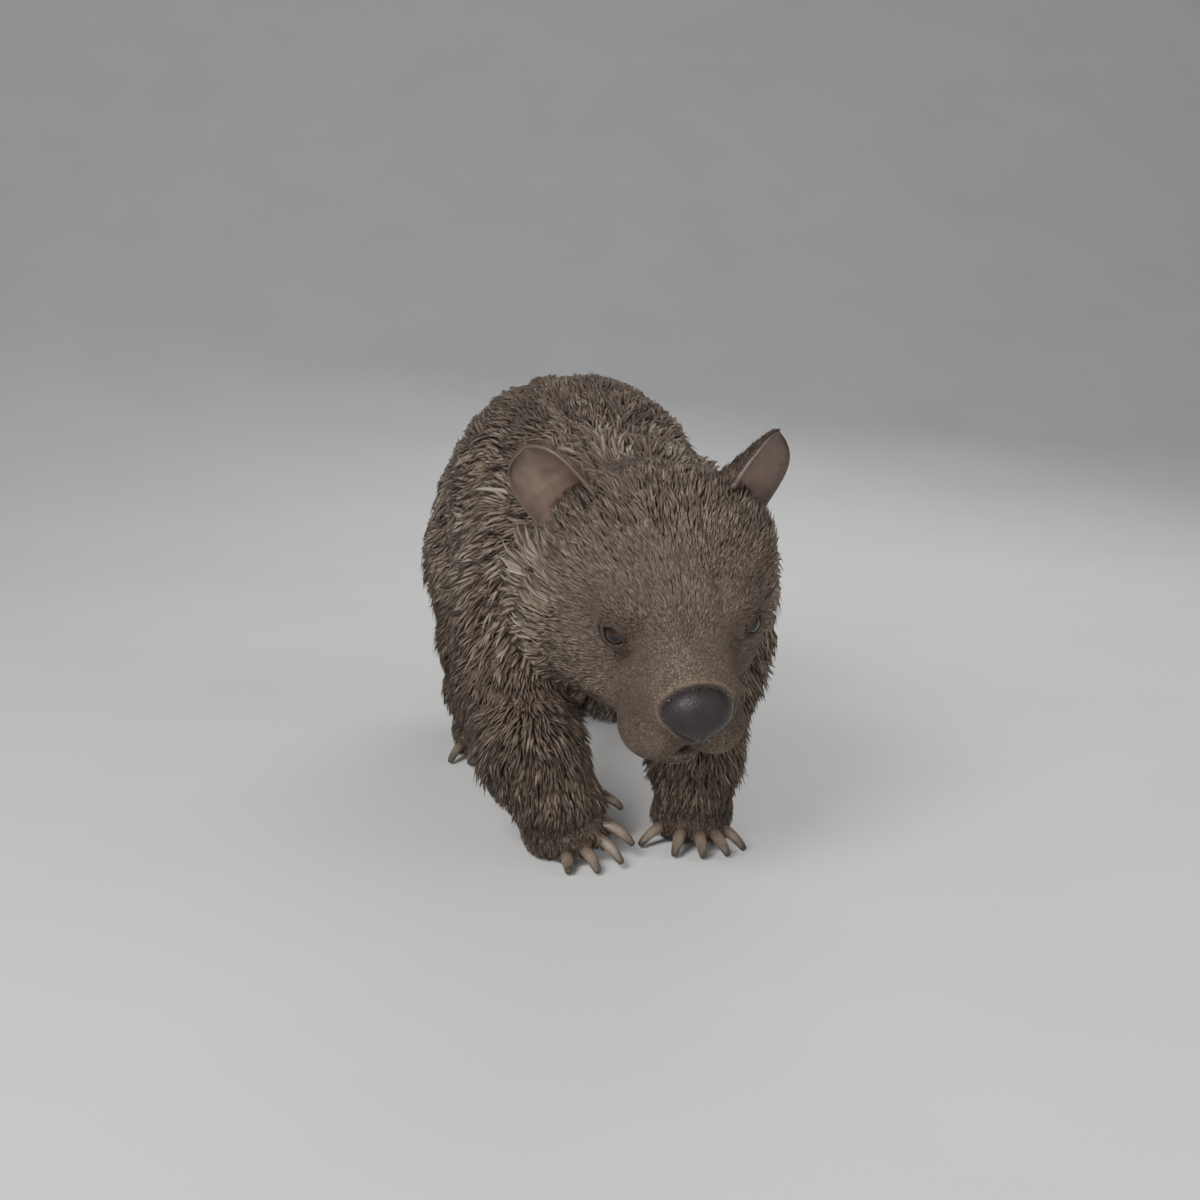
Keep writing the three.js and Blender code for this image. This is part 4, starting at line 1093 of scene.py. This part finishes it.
class OBJECT_OT_wombat_ears(bpy.types.Operator):
    """Makes the ears' cups with the fur on their backs and rims"""

    bl_idname = "object.wombat_ears"
    bl_label = "Ears"

    def execute(self, context):
        cup = Finish("Ear skin", Roughness=0.5, Specular_IOR_Level=0.4)
        vein = cup.noise(cup.place(), 90.0, 4.0)
        cup.feed(Base_Color=cup.mixed(cup.attribute("rim"),
                                      cup.ramp(vein, (0.3, (0.115, 0.078, 0.062)),
                                               (0.75, (0.20, 0.140, 0.112))),
                                      (0.085, 0.064, 0.050, 1.0)),
                 Normal=cup.bump(vein, 0.0012, 0.5))
        fur = fur_finish("Ear fur", True)
        draw = np.random.default_rng(19)
        for label, side in (("right", -1), ("left", 1)):
            inner, outer, rim = ear_surfaces(side)
            rows, columns = inner.shape[:2]
            count = rows * columns
            sheet = grid_faces(rows, columns, closed=False)
            edge = np.concatenate((np.arange(columns), np.arange(1, rows) * columns + columns - 1,
                                   (rows - 1) * columns + np.arange(columns - 2, -1, -1),
                                   np.arange(rows - 2, 0, -1) * columns))
            after = np.roll(edge, -1)
            wall = np.stack((edge, edge + count, after + count, after), 1)
            faces = np.concatenate((sheet, sheet[:, ::-1] + count, wall))
            if side < 0:
                faces = faces[:, ::-1]
            points = head_place(np.concatenate((inner.reshape(-1, 3), outer.reshape(-1, 3))))
            piece = make_piece(f"Ear_{label}", points, faces)
            point_values(piece, "rim", np.concatenate((rim.ravel() ** 3, 1 + 0 * rim.ravel())))
            finish_piece(piece, "coat", cup.material, f"ear_{label}")
            ear_fur(f"Coat_ear_{label}", inner, outer, draw, fur)
        return {"FINISHED"}


def ear_surfaces(side, rows=40, columns=40):
    """The cup's inner and outer sheets: a leaf with u across it from -1 to 1 and v up it, bent
    round its long axis by curl u, with a low bump at its root and folds inside."""
    up = unit(np.array(EAR_UP))
    facing = np.array(EAR_FACING)
    facing = unit(facing - facing @ up * up)
    across = np.cross(up, facing)
    u, v = np.meshgrid(np.linspace(-1, 1, columns), 1 - (1 - np.linspace(0, 1, rows)) ** 1.5)
    leaf = np.minimum(1, 0.72 + 1.1 * v) * np.clip(1 - v ** 6, 0, 1) ** 0.45 + 0.08
    curl = np.radians(EAR_CURL * (1.25 - 0.7 * v))
    bend = EAR_HALF_WIDTH * leaf / np.sin(np.minimum(curl, 1.45))
    thick = EAR_THICKNESS * (1.1 - 0.6 * v)
    roll = np.clip(np.abs(u) - 0.86, 0, 1) / 0.14
    fold = 0.0035 * np.exp(-(((u - 0.30) / 0.16) ** 2) - ((v - 0.22) / 0.16) ** 2)
    fold += 0.0050 * np.exp(-(((u + 0.55) / 0.14) ** 2) - ((v - 0.16) / 0.10) ** 2)
    fold += 0.0014 * roll
    sheets = []
    for back in (0.0, 1.0):
        depth = bend * (1 - np.cos(curl * u)) - 0.012 - back * thick + (1 - back) * fold
        points = (np.array(EAR_ROOT) + (bend * np.sin(curl * u))[..., None] * across
                  + depth[..., None] * facing + (EAR_LENGTH * (v - 0.15))[..., None] * up)
        sheets.append(points * np.array((side, 1, 1)))
    return sheets[0], sheets[1], np.maximum(np.abs(u), v)


def ear_fur(name, inner, outer, draw, material):
    """Short tufts on the ear's back and round its rim, which lie towards its tip."""
    rows, columns = inner.shape[:2]
    count = 2600
    row = (1 + draw.random(count) * (rows - 3)).astype(int)
    column = (draw.random(count) * (columns - 1)).astype(int)
    edge = draw.random(count) < 0.30
    column = np.where(edge, np.where(draw.random(count) < 0.5, 0, columns - 1), column)
    tip = draw.random(count) < 0.10
    row = np.where(tip, rows - 2, row)
    root = outer[row, column]
    lie = unit(outer[np.minimum(row + 1, rows - 1), column] - outer[row - 1, column])
    lie = unit(lie + 0.15 * draw.standard_normal((count, 3)))
    outward = unit(outer[row, column] - inner[row, column])
    root, lie, outward = head_place(root), lie @ HEAD_MATRIX.T, outward @ HEAD_MATRIX.T
    aside = np.cross(outward, lie)
    length = 0.0070 * (0.7 + 0.6 * draw.random(count)) * (1 - 0.65 * (row / rows) ** 3)
    ring = []
    for share, width in ((0.0, 0.8), (0.5, 1.0)):
        at = root + lie * (length * share)[:, None] + outward * (0.0022 * share - 0.0006)
        half = 0.00075 * width
        ring += [at + aside * half, at - aside * half, at + outward * half * 0.6]
    ring.append(root + lie * length[:, None] + outward * 0.0012)
    blade = np.stack(ring, 1)
    share = np.array((0, 0, 0, 0.5, 0.5, 0.5, 1.0))
    shade = 0.40 + 0.10 * draw.standard_normal((count, 1)) + 0.22 * (share - 0.5)
    across = np.array((0, 1, 0.5, 0, 1, 0.5, 0.5))
    patch = np.stack(np.broadcast_arrays(across - 0.5, share - 0.5), -1) * 0.003
    home = np.stack((column / columns, row / rows), -1) * 0.95 + 0.02
    strand = np.stack(np.broadcast_arrays(across + draw.random((count, 1)) * 40, share), -1)
    coat_piece(name, blade, shade, strand, home[:, None] + patch, material)


class OBJECT_OT_wombat_claws(bpy.types.Operator):
    """Makes the long digging claws"""

    bl_idname = "object.wombat_claws"
    bl_label = "Claws"

    def execute(self, context):
        user = context.scene.wombat_face
        horn = Finish("Horn", Roughness=0.36, Specular_IOR_Level=0.5)
        place = horn.place()
        streak = horn.noise(place, 240.0, 3.0)
        worn = horn.attribute("along")
        pale = tuple(min(1.0, 2.6 * value) for value in user.claw_colour)
        colour = horn.ramp(worn + (streak - 0.5) * 0.5, (0.0, user.claw_colour), (0.6, pale),
                           (1.0, tuple(value * 0.6 for value in user.claw_colour)))
        ridges = horn.node("ShaderNodeMapping", None,
                           {"Vector": horn.node("ShaderNodeUVMap", {"uv_map": "Grain"}),
                            "Scale": (30.0, 2.0, 1.0)})
        horn.feed(Base_Color=colour, Normal=horn.bump(horn.noise(ridges, 1.0, 2.0), 0.0006, 0.8),
                  Roughness=0.28 + streak * 0.24)
        for name, leg in LEGS.items():
            for index in range(leg["claws"]):
                points, along, grain = claw_surface(leg, index)
                piece = round_piece(f"Claw_{name}_{index + 1}", points)
                point_values(piece, "along", along)
                corner_map(piece, "Grain", grain)
                finish_piece(piece, "claws", horn.material, f"claw_{name}_{index + 1}")
        return {"FINISHED"}


def claw_surface(leg, index):
    """A tube on a falling arch: its height drops by t to the power 1.6 with a low hump, and its
    radius falls from the toe's end by (1 - t) to the power 0.55, flat below and ridged above."""
    (_, knuckle, end), ahead = toe_stops(leg, index)
    slant = unit(end - knuckle)
    start = end - slant * 0.004
    drop = end[2] - max(CLAW_TIP_HEIGHT, end[2] - 0.014)
    t = np.linspace(0, 1, 24)
    radius = CLAW_TIP_RADIUS + (CLAW_RADIUS - CLAW_TIP_RADIUS) * (1 - t) ** 0.55
    path = start + ahead * (CLAW_LENGTH + 0.0038) * t[:, None]
    path[:, 2] = end[2] - drop * t ** 1.6 + 0.0015 * np.sin(np.pi * t)
    path[:, 2] = np.maximum(path[:, 2], radius + 0.0003)
    run = unit(np.gradient(path, axis=0))
    aside = unit(np.cross(run, (0, 0, 1.0)))
    upward = np.cross(aside, run)
    turn = np.linspace(0, 2 * np.pi, 16, endpoint=False)
    tall = np.where(np.sin(turn) > 0, 1.0, 0.72)
    ring = (np.cos(turn)[None, :, None] * aside[:, None] * 0.98
            + (np.sin(turn) * tall)[None, :, None] * upward[:, None])
    tube = path[:, None] + ring * radius[:, None, None]
    first = np.broadcast_to(path[:1, None], tube[:1].shape)
    last = np.broadcast_to((path[-1] + run[-1] * 0.0008)[None, None], tube[:1].shape)
    along = np.repeat(np.concatenate(((0,), t, (1,))), len(turn))
    grain = np.stack((np.tile(np.cos(turn) * 0.5 + 0.5, len(t) + 2), along), -1)
    return np.concatenate((first, tube, last)), along, grain


class OBJECT_OT_wombat_stage(bpy.types.Operator):
    """Sets the floor, the lights and the camera"""

    bl_idname = "object.wombat_stage"
    bl_label = "Floor, lights and camera"

    def execute(self, context):
        scene = context.scene
        matt = Finish("Floor", Roughness=0.85, Specular_IOR_Level=0.2)
        grain = matt.noise(matt.place(), 3.0, 4.0)
        matt.feed(Base_Color=matt.ramp(grain, (0.3, (0.60, 0.59, 0.57)), (0.7, (0.64, 0.63, 0.61))))
        bend = np.linspace(0.06, np.pi / 2, 12)
        wall = np.linspace(SWEEP_RADIUS + 0.4, WALL_HEIGHT, 6)
        run = np.concatenate((np.linspace(FLOOR_FRONT, SWEEP_START, 12), SWEEP_START
                              + SWEEP_RADIUS * np.sin(bend), 0 * wall + SWEEP_START + SWEEP_RADIUS))
        lift = np.concatenate((np.zeros(12), SWEEP_RADIUS * (1 - np.cos(bend)), wall))
        wide = np.linspace(-FLOOR_HALF_WIDTH, FLOOR_HALF_WIDTH, 9)
        sweep = np.stack(np.broadcast_arrays(wide, run[:, None], lift[:, None]), -1)
        faces = grid_faces(*sweep.shape[:2], closed=False)
        floor = make_piece("Floor", sweep, faces, packed=True)
        floor.data.materials.append(matt.material)
        world = bpy.data.worlds.new("Studio")
        world.use_nodes = True
        world.node_tree.nodes["Background"].inputs["Color"].default_value = (0.80, 0.84, 0.90, 1)
        world.node_tree.nodes["Background"].inputs["Strength"].default_value = 0.42
        scene.world = world
        for name, place, size, power in LIGHTS:
            lamp = bpy.data.lights.new(name, "AREA")
            lamp.size = size
            lamp.energy = power
            light = bpy.data.objects.new(name, lamp)
            scene.collection.objects.link(light)
            light.location = place
            light.visible_glossy = name == "Key"
            aim = np.array(LIGHTS_AIM) - place
            light.rotation_euler = (math.atan2(math.hypot(aim[0], aim[1]), -aim[2]), 0,
                                    math.atan2(-aim[0], aim[1]))
        lens = bpy.data.cameras.new("Camera")
        lens.sensor_width = 36
        lens.lens = 18 / math.tan(math.radians(VIEW_ANGLE / 2))
        camera = bpy.data.objects.new("Camera", lens)
        scene.collection.objects.link(camera)
        azimuth = math.radians(CAMERA_AZIMUTH)
        camera.location = (math.sin(azimuth) * CAMERA_DISTANCE + ORIGIN[0],
                           -math.cos(azimuth) * CAMERA_DISTANCE + ORIGIN[1], CAMERA_HEIGHT)
        camera.rotation_euler = (math.radians(90 - CAMERA_PITCH), 0, azimuth)
        scene.camera = camera
        return {"FINISHED"}


OPERATORS = (OBJECT_OT_wombat_skin, OBJECT_OT_wombat_coat, OBJECT_OT_wombat_eyes,
             OBJECT_OT_wombat_nose, OBJECT_OT_wombat_ears, OBJECT_OT_wombat_claws,
             OBJECT_OT_wombat_stage)


class VIEW3D_PT_wombat(bpy.types.Panel):
    """Lists the wombat's settings and pieces"""

    bl_idname = "VIEW3D_PT_wombat"
    bl_label = "Wombat"
    bl_space_type = "VIEW_3D"
    bl_region_type = "UI"
    bl_category = "Wombat"

    def draw(self, context):
        for settings in (context.scene.wombat_coat, context.scene.wombat_face):
            for name in settings.__annotations__:
                self.layout.prop(settings, name)
        for operator in OPERATORS:
            self.layout.operator(operator.bl_idname)


CLASSES = (WombatCoatSettings, WombatFaceSettings, *OPERATORS, VIEW3D_PT_wombat)


def register():
    for item in CLASSES:
        bpy.utils.register_class(item)
    bpy.types.Scene.wombat_coat = PointerProperty(type=WombatCoatSettings)
    bpy.types.Scene.wombat_face = PointerProperty(type=WombatFaceSettings)


def unregister():
    del bpy.types.Scene.wombat_coat
    del bpy.types.Scene.wombat_face
    for item in reversed(CLASSES):
        bpy.utils.unregister_class(item)


def main():
    """Makes every piece in order."""
    register()
    for operator in OPERATORS:
        group, name = operator.bl_idname.split(".")
        getattr(getattr(bpy.ops, group), name)()


if __name__ == "__main__":
    main()
